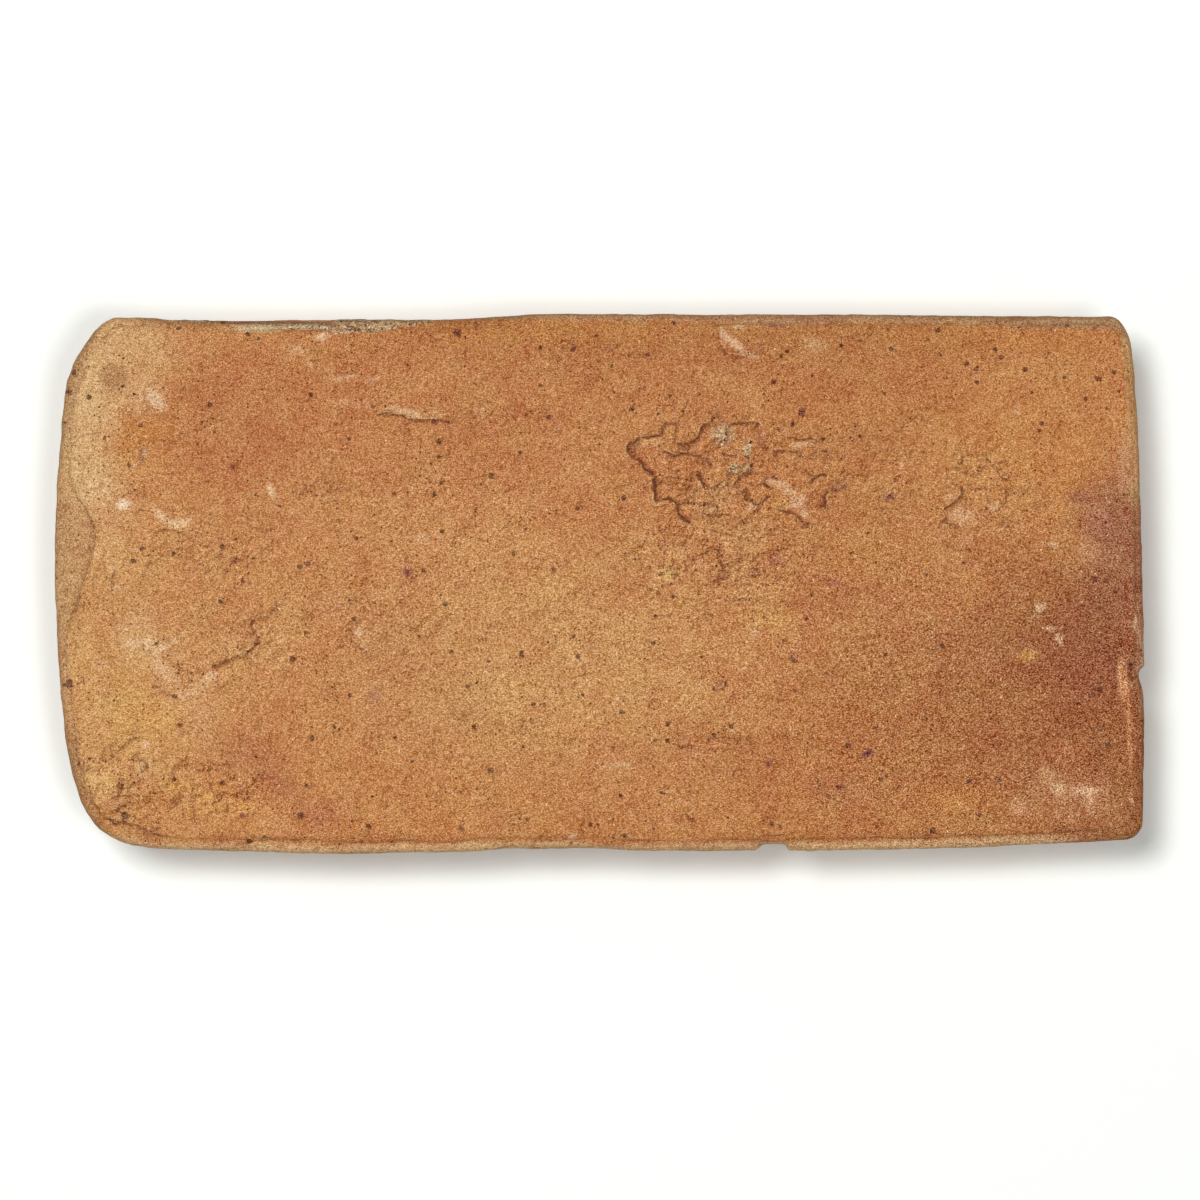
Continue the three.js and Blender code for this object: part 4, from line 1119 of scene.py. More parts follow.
    def flake(self, places: Array, rolling: Array) -> Array:
        """How much lower each place lies inside the flake's outline, on a floor that rolls a little.

        Args:
            places: In millimetres.
            rolling: The field that the ledges are cut from.

        Returns:
            A depth for each place.
        """
        outline = np.array(FLAKE_OUTLINE).reshape(-1, 2)
        gap, _ = nearest_on_path(places, np.vstack([outline, outline[:1]]))
        inside = np.where(inside_outline(places, outline), np.abs(gap), -np.abs(gap))
        level, swing = self.flake_floor
        return self.flake_depth * smooth_rise(*self.flake_edge, inside) * (level + swing * rolling)

    def tear(self, places: Array, height: Array, up: Array) -> tuple[Array, tuple[Array, ...]]:
        """Lifts the left side of each tear and lowers its right side, in place.

        The step at offset d is lift x sign(d) x exp(-|d| / reach), fading out at the tear's ends. The
        shade starts sharply at the tear and fades over its low side. Each set of tears keeps its
        nearest tear's offset, how near it is, and its strength. Neighbours lie in different sets, so
        an offset runs straight across each cell of the mesh and a shader can draw a fine line at it.

        Args:
            places: In millimetres.
            height: The relief, changed in place.
            up: How far each place belongs to the struck face.

        Returns:
            How deep each place lies in the shade of tears, and three columns for each set.
        """
        shade = np.zeros(len(places))
        sets = tuple(np.tile([self.tear_far, 0.0, 0.0], (len(places), 1)) for _ in range(TEAR_SETS))
        for number, tear in enumerate(TEARS):
            path = tear.path()
            low, high = path.min(axis=0) - self.tear_margin, path.max(axis=0) + self.tear_margin
            near = np.flatnonzero(((places[:, :2] > low) & (places[:, :2] < high)).all(axis=1) & (up > 0))
            offset, end = nearest_on_path(places[near], path)
            away = np.abs(offset)
            step = np.clip(offset / self.tear_step, -1, 1) * np.exp(-away / self.tear_reach)
            lift = self.tear_scale * tear.lift * step
            height[near] += lift * smooth_rise(*self.tear_end, end) * up[near]
            kept = smooth_rise(*self.line_end, end) * up[near]
            low_side = 1 + offset / (self.shade_width * tear.width)
            ramp = np.where(offset < 0, low_side, 1 - offset / self.tear_step)
            shade[near] = np.maximum(shade[near], tear.shade * np.clip(ramp, 0, 1) * kept)
            lines = sets[number % TEAR_SETS]
            nearness = np.clip(1 - away / self.tear_reach, 0, 1) * kept
            closer = nearness > lines[near, 1]
            kept_line = np.column_stack([offset, nearness, np.full(len(near), tear.shade)])
            lines[near[closer]] = kept_line[closer]
        return shade, sets

    def specks(self, places: Array, specks: tuple[Speck, ...]) -> Array:
        """The way to the nearest speck, in units of its radius, and its hue.

        Both lie flat across each cell of the mesh near a speck, so a shader sees a true circle.

        Args:
            places: In millimetres.
            specks: The specks to look among.

        Returns:
            Two offsets and a hue for each place.
        """
        table = np.array([(s.x, s.y, s.radius, s.hue) for s in specks])
        way = places[:, None, :2] - table[:, :2]
        nearest = np.linalg.norm(way, axis=-1).argmin(axis=1)
        near = way[np.arange(len(places)), nearest] / table[nearest, 2:3]
        low = places[:, 2] < self.section.thickness - self.section.lip_depth
        near[(np.linalg.norm(near, axis=1) > self.speck_reach) | low] = self.speck_far
        return np.column_stack([near, table[nearest, 3]])

    def tint(self, places: Array, up: Array) -> tuple[Array, Array]:
        """The fired colour at each place, with each stain mixed over the ones before it.

        Args:
            places: In millimetres.
            up: How far each place belongs to the struck face.

        Returns:
            Linear colours, and the shade in the hollow behind the south lip.
        """
        colour = np.tile(fired(*CLAY), (len(places), 1))
        drifted = self.stain_warp.warp(places)
        for stain in STAINS:
            drift = min(1.0, self.stain_drift * stain.patch.short * stain.softness)
            moved = places + (drifted - places) * drift
            share = stain.strength * stain.patch.soft(moved, stain.softness)
            colour = blend(colour, fired(*stain.colour), share[:, None])

        # Edgings lie on the struck face and its lip, so the sides count as far from every edge.
        wall = smooth_rise(*self.moulded_band, self.section.thickness - places[:, 2])
        colour = blend(colour, self.side_tint(places), self.moulded_share * wall[:, None])
        insets = self.plan.insets(places) + self.wall_away * wall
        sway = self.edging_sway.at(places)
        for edging in EDGINGS:
            way = edging.way
            colour = edging.laid(colour, places[:, 1 - way.across], insets[way], sway)
        behind = insets[Way.SOUTH] + self.hollow_sway * sway - np.interp(places[:, 0], *LIP_WIDTH)
        return colour, self.hollow(places, behind - self.hollow_back) * blend(self.hollow_side, 1, up)

    def side_tint(self, places: Array) -> Array:
        """The colour of the moulded sides: a middle tone that drifts to a darker and to a lighter one.

        Args:
            places: In millimetres.

        Returns:
            Linear colours.
        """
        drift = self.side_tone.at(places)[:, None]
        middle, dark, light = (fired(*tone) for tone in self.moulded)
        darker = blend(middle, dark, smooth_rise(*self.side_darker, drift))
        return blend(darker, light, smooth_rise(*self.side_lighter, drift))

    def hollow(self, places: Array, behind: Array) -> Array:
        """The shade in the hollow behind the south lip, in patches.

        Args:
            places: In millimetres.
            behind: How far each place lies behind the lip's crest.

        Returns:
            A share for each place.
        """
        front, back = self.hollow_run
        ramp = np.where(behind < 0, 1 + behind / front, 1 - behind / back)
        shade = np.clip(ramp, 0, 1) * self.hollow_shade * smooth_rise(*self.hollow_start, places[:, 0])
        return shade * np.clip(self.hollow_level + self.hollow_swing.at(places), 0, 1)

    def crust(self, places: Array) -> Array:
        """How much old mortar clings to each place: a band along the north arris, west of the middle.

        Args:
            places: In millimetres.

        Returns:
            A share for each place.
        """
        x, _, z = places.T
        reach = self.plan.insets(places)[Way.NORTH] - self.wear.inset(x)
        level = np.clip(0.5 + np.interp(x, *MORTAR_BAND) - reach, 0, 1)
        start, end = self.crust_gap
        bare = smooth_rise(*start, x) * smooth_rise(*end, x) * smooth_rise(*self.crust_gap_reach, reach)
        down = smooth_rise(*self.crust_band, z + self.crust_sway.at(places))
        west, east = self.crust_ends
        return np.where((x > west) & (x < east), level * (1 - bare), 0) * down


# ---- The skin ----


@dataclass
class BrickSkin:
    """The brick's whole surface as one closed mesh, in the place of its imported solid."""

    length: float
    width: float
    thickness: float
    columns: int = 352
    rows: int = 172

    # The stretches over the flake where the grid is finer, how much finer, and over what margin.
    dense_length: Pair = (4, 51)
    dense_width: Pair = (10, 35)
    density: float = 1.9
    dense_margin: float = 6.0
    fine_places: int = 4001

    # Where wear starts and ends: below the face, or in from a side.
    wear: Wear = Wear()
    lip_fade: Pair = (9, 5.5)
    wear_fade: Pair = (6, 1)
    swell_fade: Pair = (8, 1)
    swell_rise: Pair = (20, 44)
    crease_fill: float = 0.6
    crease_swing: Wave = Wave(13, 1, 9)
    crease_rise: Pair = (-0.7, 0.3)

    # What counts as the struck face, by depth, and as a side, by how level its normal lies.
    face_band: Pair = (0.9, 0.1)
    side_turn: Pair = (0.5, 0.9)

    # How far in a side still pulls at a place that is unfolded, and how far in the bed still moves.
    pull: float = 8.0
    bed_fade: float = 50.0
    unfold_shift: float = 0.8

    # Relief of the sides.
    folds: Wave = Wave(31, 1, (26, 26, 7), 4)
    fold_count: float = 3.0
    fold_depth: float = 0.5
    fold_front: Pair = (0.6, 1)
    bulged: Wave = Wave(32, 0.35, 30, 2)
    sanded: Wave = Wave(33, 0.1, 3)

    plan: Plan = field(init=False)
    section: Section = field(init=False)

    def __post_init__(self) -> None:
        """Draws the plan and the section from the overall size."""
        self.plan = Plan(self.length, self.width)
        self.section = Section(self.thickness)

    def shares(self, count: int, size: float, dense: Pair) -> Array:
        """Shares from 0 to 1 that lie closer together over the flake.

        The spacing is the reverse of a density of 1 that rises fairly to `density` over the stretch,
        so the shares are read off its running sum.

        Args:
            count: How many steps.
            size: The length that the shares divide.
            dense: Where the dense stretch starts and ends, from the middle.

        Returns:
            The shares, one more than the steps.
        """
        fine = np.linspace(0, 1, self.fine_places)
        place = (fine - 0.5) * size
        start, end = dense
        rise = smooth_rise(start - self.dense_margin, start, place)
        rise = rise * smooth_rise(end + self.dense_margin, end, place)
        running = np.append(0, np.cumsum(1 + (self.density - 1) * rise[1:]))
        return np.interp(np.linspace(0, 1, count + 1), running / running[-1], fine)

    def border(self, grid: Array) -> Array:
        """The numbers round the edge of a grid, anticlockwise from its south-west corner."""
        return np.concatenate([grid[0, :-1], grid[:-1, -1], grid[-1, :0:-1], grid[:0:-1, 0]])

    def quads(self, lower: Array, upper: Array) -> Array:
        """The faces between two closed rings of numbers, facing out where `upper` lies above."""
        return np.stack([lower, np.roll(lower, -1), np.roll(upper, -1), upper], axis=1)

    def build(self) -> tuple[Array, Array, Array]:
        """Lays out the undisturbed skin.

        Returns:
            The places, the four-sided faces and the three-sided faces.
        """
        u = self.shares(self.columns, self.length, self.dense_length)
        v = self.shares(self.rows, self.width, self.dense_width)
        turns = zip(Way, (u, v, 1 - u[::-1], 1 - v[::-1]))
        ring = np.vstack([self.plan.edge(way, shares)[:-1] for way, shares in turns])
        one = np.ones(1)
        rim = self.section.drawn_in(ring, self.plan, 0 * one, one, self.section.face_arris * one)[0]
        places, grid = self.sheet(rim, u, v, self.thickness, 0)
        quads = [self.cells(grid)]

        levels = self.section.rows()
        fine_rows = self.section.arris_rows + self.section.round_rows + self.section.root_rows
        band = self.section.drawn_in(ring, self.plan, levels["wall"], levels["face"], levels["round"])
        band = np.dstack([band, np.broadcast_to(levels["z"][:, None], band.shape[:2])])

        # Each ring hangs from the one above. It is halved where the walls start and where they end.
        above = self.border(grid)
        stack, triangles = [places], []
        next_number, every = len(places), 1
        for row in range(len(band)):
            halved = row in (fine_rows, fine_rows + self.section.wall_rows)
            every *= 2 if halved else 1
            stack.append(band[row, ::every])
            below = next_number + np.arange(len(ring) // every)
            if halved:
                triangles.append(self.halving(above, below))
            else:
                quads.append(self.quads(below, above))
            next_number += len(below)
            above = below

        bed, bed_grid = self.sheet(band[-1, ::every, :2], u[::every], v[::every], 0.0, next_number)
        edge = self.border(bed_grid)
        bed_faces = self.cells(bed_grid)[:, ::-1]
        rename = np.arange(next_number + len(bed))
        rename[edge] = above
        quads.append(rename[bed_faces])
        stack.append(bed)
        return self.without_spares(np.vstack(stack), np.vstack(quads), np.vstack(triangles))

    def sheet(self, rim: Array, u: Array, v: Array, height: float, first: int) -> tuple[Array, Array]:
        """A level grid inside a rim: its two straight rulings less the corners' bilinear mix.

        Args:
            rim: Points of the rim, anticlockwise from the south-west corner.
            u: Shares along the length.
            v: Shares across the width.
            height: The sheet's height.
            first: The number of its first point.

        Returns:
            The places, and their numbers as rows by columns.
        """
        long, wide = len(u) - 1, len(v) - 1
        south, east = rim[: long + 1], rim[long : long + wide + 1]
        north = rim[long + wide : 2 * long + wide + 1][::-1]
        west = np.vstack([rim[2 * long + wide :], rim[:1]])[::-1]
        u, v = u[None, :, None], v[:, None, None]
        ruled = (1 - v) * south[None] + v * north[None] + (1 - u) * west[:, None] + u * east[:, None]
        low = (1 - u) * south[0] + u * south[-1]
        high = (1 - u) * north[0] + u * north[-1]
        flat = (ruled - (1 - v) * low - v * high).reshape(-1, 2)
        places = np.column_stack([flat, np.full(len(flat), height)])
        return places, first + np.arange(len(flat)).reshape(wide + 1, long + 1)

    def cells(self, grid: Array) -> Array:
        """The four-sided faces of a grid of numbers, facing up."""
        corners = grid[:-1, :-1], grid[:-1, 1:], grid[1:, 1:], grid[1:, :-1]
        return np.stack([c.ravel() for c in corners], axis=1)

    def halving(self, above: Array, below: Array) -> Array:
        """Three triangles for each lower edge, between a ring and one with half as many points.

        Args:
            above: The upper ring's numbers.
            below: The lower ring's numbers, half as many.

        Returns:
            The triangles in rows.
        """
        first, middle, last = above[::2], above[1::2], np.roll(above[::2], -1)
        start, end = below, np.roll(below, -1)
        fans = [(first, start, middle), (start, end, middle), (middle, end, last)]
        return np.vstack([np.stack(fan, axis=1) for fan in fans])

    def without_spares(self, places: Array, quads: Array, triangles: Array) -> tuple[Array, Array, Array]:
        """Drops the places that no face uses and numbers the rest afresh.

        Args:
            places: Every place.
            quads: Four-sided faces.
            triangles: Three-sided faces.

        Returns:
            The three of them without spares.
        """
        used = np.unique(np.concatenate([quads.ravel(), triangles.ravel()]))
        number = np.zeros(len(places), dtype=np.int64)
        number[used] = np.arange(len(used))
        return places[used], number[quads], number[triangles]

    def chipped(self, places: Array) -> Array:
        """The places with the lip's chips and wear pressed in, and its crease filled here and there.

        Args:
            places: In millimetres.

        Returns:
            The places moved.
        """
        moved = places.copy()
        x, y, z = places.T
        below, half_width = self.thickness - z, self.width / 2
        on_lip = smooth_rise(*self.lip_fade, below)
        for chip in CHIPS:
            across, outward = chip.way.across, chip.way.outward
            inset = (self.length, self.width)[across] / 2 - outward * places[:, across]
            moved[:, across] -= outward * chip.bite(places[:, 1 - across], inset) * on_lip
        moved[:, 1] -= self.wear.inset(x) * smooth_rise(*self.wear_fade, half_width - y) * on_lip
        swell = smooth_rise(*self.swell_fade, half_width + y) * smooth_rise(*self.swell_rise, z)
        moved[:, 1] -= np.interp(x, *SOUTH_SWAY) * swell
        crease = self.section.crease_depth
        filled = smooth_rise(0, crease, below) * smooth_rise(self.section.lip_depth, crease, below)
        uneven = self.crease_swing.at(places * (1, 1, 0))
        moved[:, 2] += self.crease_fill * filled * smooth_rise(*self.crease_rise, uneven)
        return moved

    def mesh(self) -> bpy.types.Object:
        """Makes the finished piece, with its marks kept as attributes for the finish to read.

        Returns:
            The brick's object.
        """
        places, quads, triangles = self.build()
        places = self.chipped(places)
        piece = new_piece("brick_skin", places * MM, quads, triangles)
        normals = np.zeros(len(places) * 3)
        piece.data.vertices.foreach_get("normal", normals)
        normals = normals.reshape(-1, 3)

        up = smooth_rise(*(self.thickness - band for band in self.face_band), places[:, 2])
        marks = ClayMarks(self.plan, self.section).read(places, up)
        side = 1 - smooth_rise(*self.side_turn, np.abs(normals[:, 2]))
        height = marks.height + self.side_relief(places) * side
        moved = places + normals * height[:, None]
        moved[:, 2] = np.maximum(moved[:, 2], 0)
        piece.data.vertices.foreach_set("co", (moved * MM).ravel())
        piece.data.update()

        Kept.COLOUR.keep(piece, "tint", np.column_stack([marks.tint, np.ones(len(places))]))
        Kept.VECTOR.keep(piece, "ledge", marks.ledge)
        Kept.VECTOR.keep(piece, "unfolded", self.unfolded(places) * MM)
        for name in ("shade", "crinkle", "pale", "crust", "grit"):
            Kept.NUMBER.keep(piece, name, getattr(marks, name))
        for name, sets in (("tear", marks.tears), ("speck", marks.specks)):
            for number, values in enumerate(sets):
                Kept.VECTOR.keep(piece, f"{name}_{number}", values)
        return piece

    def unfolded(self, places: Array) -> Array:
        """The places with the sides folded out flat, so that a flat scatter lies on them unstretched.

        Each place moves outwards by its drop below the struck face, square to the nearest side. Each
        side pulls by exp(-inset / pull), and under the bed the move fades with the inset.

        Args:
            places: In millimetres.

        Returns:
            The places moved.
        """
        insets = np.maximum(self.plan.insets(places), 0)
        pull = np.exp(-insets / self.pull)
        outward = np.column_stack([pull[Way.EAST] - pull[Way.WEST], pull[Way.NORTH] - pull[Way.SOUTH]])
        outward /= np.maximum(np.linalg.norm(outward, axis=1), 0.001)[:, None]
        fade = np.where(places[:, 2] > 0, 1, np.clip(1 - insets.min(axis=0) / self.bed_fade, 0, 1))
        moved = places + self.unfold_shift * self.thickness
        moved[:, :2] += outward * ((self.thickness - places[:, 2]) * fade)[:, None]
        return moved

    def side_relief(self, places: Array) -> Array:
        """The relief of the moulded sides: folds that lie level, with sand drawn up the mould.

        Args:
            places: In millimetres.

        Returns:
            A height for each place.
        """
        ledge = self.folds.at(places) * self.fold_count + ABOVE_ZERO
        fronts = self.fold_depth * terraced(ledge, self.fold_count, self.fold_front)
        return self.bulged.at(places) + fronts + self.sanded.at(places)


def new_piece(name: str, places: Array, quads: Array, triangles: Array) -> bpy.types.Object:
    """Makes a mesh object from whole arrays.

    Args:
        name: The piece's name.
        places: Places in metres, three to a row.
        quads: Four-sided faces.
        triangles: Three-sided faces.

    Returns:
        The object, linked into the scene, at the origin.
    """
    mesh = bpy.data.meshes.new(name)
    mesh.vertices.add(len(places))
    mesh.vertices.foreach_set("co", places.ravel())
    corners = np.concatenate([quads.ravel(), triangles.ravel()])
    sizes = np.concatenate([np.full(len(quads), 4), np.full(len(triangles), 3)])
    mesh.loops.add(len(corners))
    mesh.loops.foreach_set("vertex_index", corners)
    mesh.polygons.add(len(sizes))
    mesh.polygons.foreach_set("loop_start", np.cumsum(sizes) - sizes)
    mesh.polygons.foreach_set("loop_total", sizes)
    mesh.update(calc_edges=True)
    mesh.validate()
    mesh.shade_smooth()
    piece = bpy.data.objects.new(name, mesh)
    bpy.context.scene.collection.objects.link(piece)
    return piece


class Kept(Enum):
    """What is kept at each point of a piece: its type, and the entry that holds it."""

    NUMBER = ("FLOAT", "value")
    VECTOR = ("FLOAT_VECTOR", "vector")
    COLOUR = ("FLOAT_COLOR", "color")

    def keep(self, piece: bpy.types.Object, name: str, values: Array) -> None:
        """Keeps a value for each point of a piece, by name.

        Args:
            piece: The piece.
            name: The name to keep them under.
            values: The values in rows.
        """
        kind, entry = self.value
        layer = piece.data.attributes.new(name, kind, "POINT")
        layer.data.foreach_set(entry, values.astype(np.float32).ravel())


# ---- Shader graphs ----


@dataclass(frozen=True)
class Mottle:
    """A noise of the finish: its size in millimetres, its finer octaves and how strong they are.

    The shift, in metres, gives an unlike pattern. The band is where its patches start and are full.
    """

    size: float
    detail: float = 2.0
    roughness: float = 0.5
    shift: float = 0.0
    band: Pair = (0.0, 1.0)


class Graph:
    """The nodes of a material or of the world, made one at a time."""

    def __init__(self, owner: bpy.types.Material | bpy.types.World) -> None:
        """Empties the owner's tree.

        Args:
            owner: The material or the world.
        """
        owner.use_nodes = True
        self.owner = owner
        self.tree = owner.node_tree
        self.tree.nodes.clear()

    def add(self, kind: str, settings: dict | None = None, sockets: dict | None = None) -> bpy.types.Node:
        """Makes a node, sets what it is, then feeds its sockets.

        Args:
            kind: The node's type.
            settings: Its properties by name, set first.
            sockets: Numbers, tuples or wires, by a socket's name or number.

        Returns:
            The node.
        """
        node = self.tree.nodes.new(kind)
        for name, value in (settings or {}).items():
            setattr(node, name, value)
        for name, value in (sockets or {}).items():
            self.feed(self.socket(node, name), value)
        return node

    def wire(
        self, kind: str, output: str | int = 0, settings: dict | None = None, sockets: dict | None = None
    ) -> "Wire":
        """A new node's output of that name or number."""
        return Wire(self, self.add(kind, settings, sockets).outputs[output])

    def socket(self, node: bpy.types.Node, name: str | int) -> bpy.types.NodeSocket:
        """The node's live input of that name or number."""
        live = (socket for socket in node.inputs if socket.name == name and socket.enabled)
        return node.inputs[name] if isinstance(name, int) else next(live)

    def feed(self, socket: bpy.types.NodeSocket, value: object) -> None:
        """Links a socket to a wire, or writes a plain value on it.

        Args:
            socket: The socket.
            value: A wire, a number or a tuple. A colour of three parts gets a full alpha.
        """
        if isinstance(value, Wire):
            self.tree.links.new(value.socket, socket)
        else:
            socket.default_value = (*value, 1) if socket.type == "RGBA" else value

    def kept(self, name: str, output: str = "Fac") -> "Wire":
        """A number kept on the piece, or its `Color` or `Vector`."""
        return self.wire("ShaderNodeAttribute", output, {"attribute_name": name})

    def parts(self, vector: "Wire") -> list["Wire"]:
        """The three parts of a vector."""
        node = self.add("ShaderNodeSeparateXYZ", sockets={"Vector": vector})
        return [Wire(self, output) for output in node.outputs]

    def noise(self, place: "Wire", mottle: Mottle, output: str = "Fac") -> "Wire":
        """Noise from 0 to 1, or three of them where the output is `Color`.

        Args:
            place: The coordinates.
            mottle: The noise.
            output: The node's output that is read.

        Returns:
            The noise.
        """
        where = place + (mottle.shift,) * 3 if mottle.shift else place
        sockets = {"Vector": where, "Scale": 1 / (mottle.size * MM)}
        sockets |= {"Detail": mottle.detail, "Roughness": mottle.roughness}
        return self.wire("ShaderNodeTexNoise", output, sockets=sockets)

    def patchy(self, place: "Wire", mottle: Mottle) -> "Wire":
        """Patches cut from a noise: a fair rise over its band."""
        return self.noise(place, mottle).rise(*mottle.band)

    def grains(self, place: "Wire", size: float) -> "Wire":
        """A random number from 0 to 1 for each grain of a size in millimetres."""
        cells = self.wire("ShaderNodeTexVoronoi", "Color", None, {"Vector": place, "Scale": 1 / (size * MM)})
        return self.wire("ShaderNodeSeparateColor", sockets={"Color": cells})

    def mix(self, share: object, first: object, second: object) -> "Wire":
        """A colour between two, by a share."""
        sockets = {"Factor": share, "A": first, "B": second}
        return self.wire("ShaderNodeMix", 2, {"data_type": "RGBA"}, sockets)


@dataclass(frozen=True)
class Wire:
    """A number, a colour or a place on a socket. Arithmetic on it adds Math or Vector Math nodes."""

    graph: Graph
    socket: bpy.types.NodeSocket

    @staticmethod
    def wide(value: object) -> bool:
        """Whether a value has three parts."""
        return value.socket.type != "VALUE" if isinstance(value, Wire) else isinstance(value, tuple)

    def maths(self, operation: str, *values: object) -> "Wire":
        """One Math node, or one Vector Math node where a value has three parts."""
        kind = "ShaderNodeVectorMath" if any(map(self.wide, values)) else "ShaderNodeMath"
        return self.graph.wire(kind, 0, {"operation": operation}, dict(enumerate(values)))

    def __add__(self, other: object) -> "Wire":
        """Adds."""
        return self.maths("ADD", self, other)

    __radd__ = __add__

    def __sub__(self, other: object) -> "Wire":
        """Takes away."""
        return self.maths("SUBTRACT", self, other)

    def __rsub__(self, other: object) -> "Wire":
        """Is taken away."""
        return self.maths("SUBTRACT", other, self)

    def __mul__(self, other: object) -> "Wire":
        """Multiplies, part by part or all parts by one number.

        Args:
            other: A wire, a number or a tuple.

        Returns:
            The product.
        """
        if self.wide(self) == self.wide(other):
            return self.maths("MULTIPLY", self, other)
        parts, number = (self, other) if self.wide(self) else (other, self)
        sockets = {0: parts, "Scale": number}
        return self.graph.wire("ShaderNodeVectorMath", 0, {"operation": "SCALE"}, sockets)

    __rmul__ = __mul__

    def __truediv__(self, other: object) -> "Wire":
        """Divides."""
        return self.maths("DIVIDE", self, other)

    def __mod__(self, other: object) -> "Wire":
        """Keeps what is left over."""
        return self.maths("FLOORED_MODULO", self, other)

    def at_most(self, ceiling: float) -> "Wire":
        """Holds a number at or below a ceiling."""
        return self.maths("MINIMUM", self, ceiling)

    def at_least(self, floor: object) -> "Wire":
        """Holds a number, or every part, at or above a floor."""
        return self.maths("MAXIMUM", self, (floor,) * 3 if self.wide(self) else floor)

    def root(self) -> "Wire":
        """The square root of a number."""
        return self.maths("SQRT", self)

    def power(self, exponent: float) -> "Wire":
        """Raises every part of a colour to a power."""
        return self.graph.wire("ShaderNodeGamma", 0, None, {"Color": self, "Gamma": exponent})

    def rise(self, low: float, high: float) -> "Wire":
        """A fair rise of a number from 0 at `low` to 1 at `high`.

        Args:
            low: Where the rise starts.
            high: Where it ends. It may lie below `low`, which turns the rise into a fall.

        Returns:
            The share.
        """
        start, end = (0.0, 1.0) if low < high else (1.0, 0.0)
        limits = {"From Min": min(low, high), "From Max": max(low, high), "To Min": start, "To Max": end}
        settings = {"interpolation_type": "SMOOTHSTEP"}
        return self.graph.wire("ShaderNodeMapRange", 0, settings, {"Value": self, **limits})


@dataclass(frozen=True)
class Scatter:
    """Specks strewn at random over the clay.

    They lie a spacing in millimetres apart, and the largest reaches a share of it. The shift, in metres,
    gives an unlike scatter. Crowded specks gather here and thin out there.
    """

    spacing: float
    reach: float
    shift: float
    tone: Tone
    strength: float
    crowded: bool = False

    def strewn(self, place: Wire) -> Wire:
        """Specks strewn at random, each of its own size.

        Args:
            place: The coordinates.

        Returns:
            1 on a speck and 0 off it.
        """
        graph = place.graph
        sockets = {"Vector": place + (self.shift,) * 3, "Scale": 1 / (self.spacing * MM)}
        cells = graph.add("ShaderNodeTexVoronoi", {"voronoi_dimensions": "2D"}, sockets)
        cell_colour = Wire(graph, cells.outputs["Color"])
        size = graph.wire("ShaderNodeSeparateColor", sockets={"Color": cell_colour})
        gap = Wire(graph, cells.outputs["Distance"]) - size * size * self.reach
        return gap.rise(self.reach * 0.25, -self.reach * 0.2)


SCATTERS = (
    Scatter(1.0, 0.19, 0.0, (96, 54, 36), 0.95, crowded=True),
    Scatter(2.3, 0.10, 0.5, (96, 54, 36), 0.95, crowded=True),
    Scatter(2.7, 0.07, 0.3, (232, 190, 138), 0.6),
    Scatter(9.0, 0.06, 0.9, (84, 44, 30), 0.8),
)


class Coat:
    """The colour laid on the clay so far, with the fields that every step reads."""

    def __init__(self, clay: "FiredClay") -> None:
        """Starts from the kiln's colour.

        Args:
            clay: The finish, for its noises.
        """
        self.graph = graph = Graph(bpy.data.materials.new(clay.name))
        self.place = graph.wire("ShaderNodeTexCoord", "Object")
        self.drawn = self.place * clay.drawn_out
        self.sand = graph.noise(self.drawn, clay.sand) - 0.5
        self.clots = graph.noise(self.drawn, clay.clots) - 0.5
        self.drift = graph.noise(self.place, clay.drift) - 0.5
        self.pale = (graph.kept("pale") + self.clots * 0.45 + self.drift * 0.6).rise(0.1, 0.95)
        self.curdled = graph.kept("crinkle").rise(0.1, 0.7)
        self.colour = graph.kept("tint", "Color")

    def lay(self, share: Wire, tone: Tone) -> None:
        """Lays a tone over the colour, by a share."""
        self.colour = self.graph.mix(share, self.colour, fired(*tone))

    def parts(self, name: str) -> list[Wire]:
        """The three numbers kept on the piece under a name."""
        return self.graph.parts(self.graph.kept(name, "Vector"))


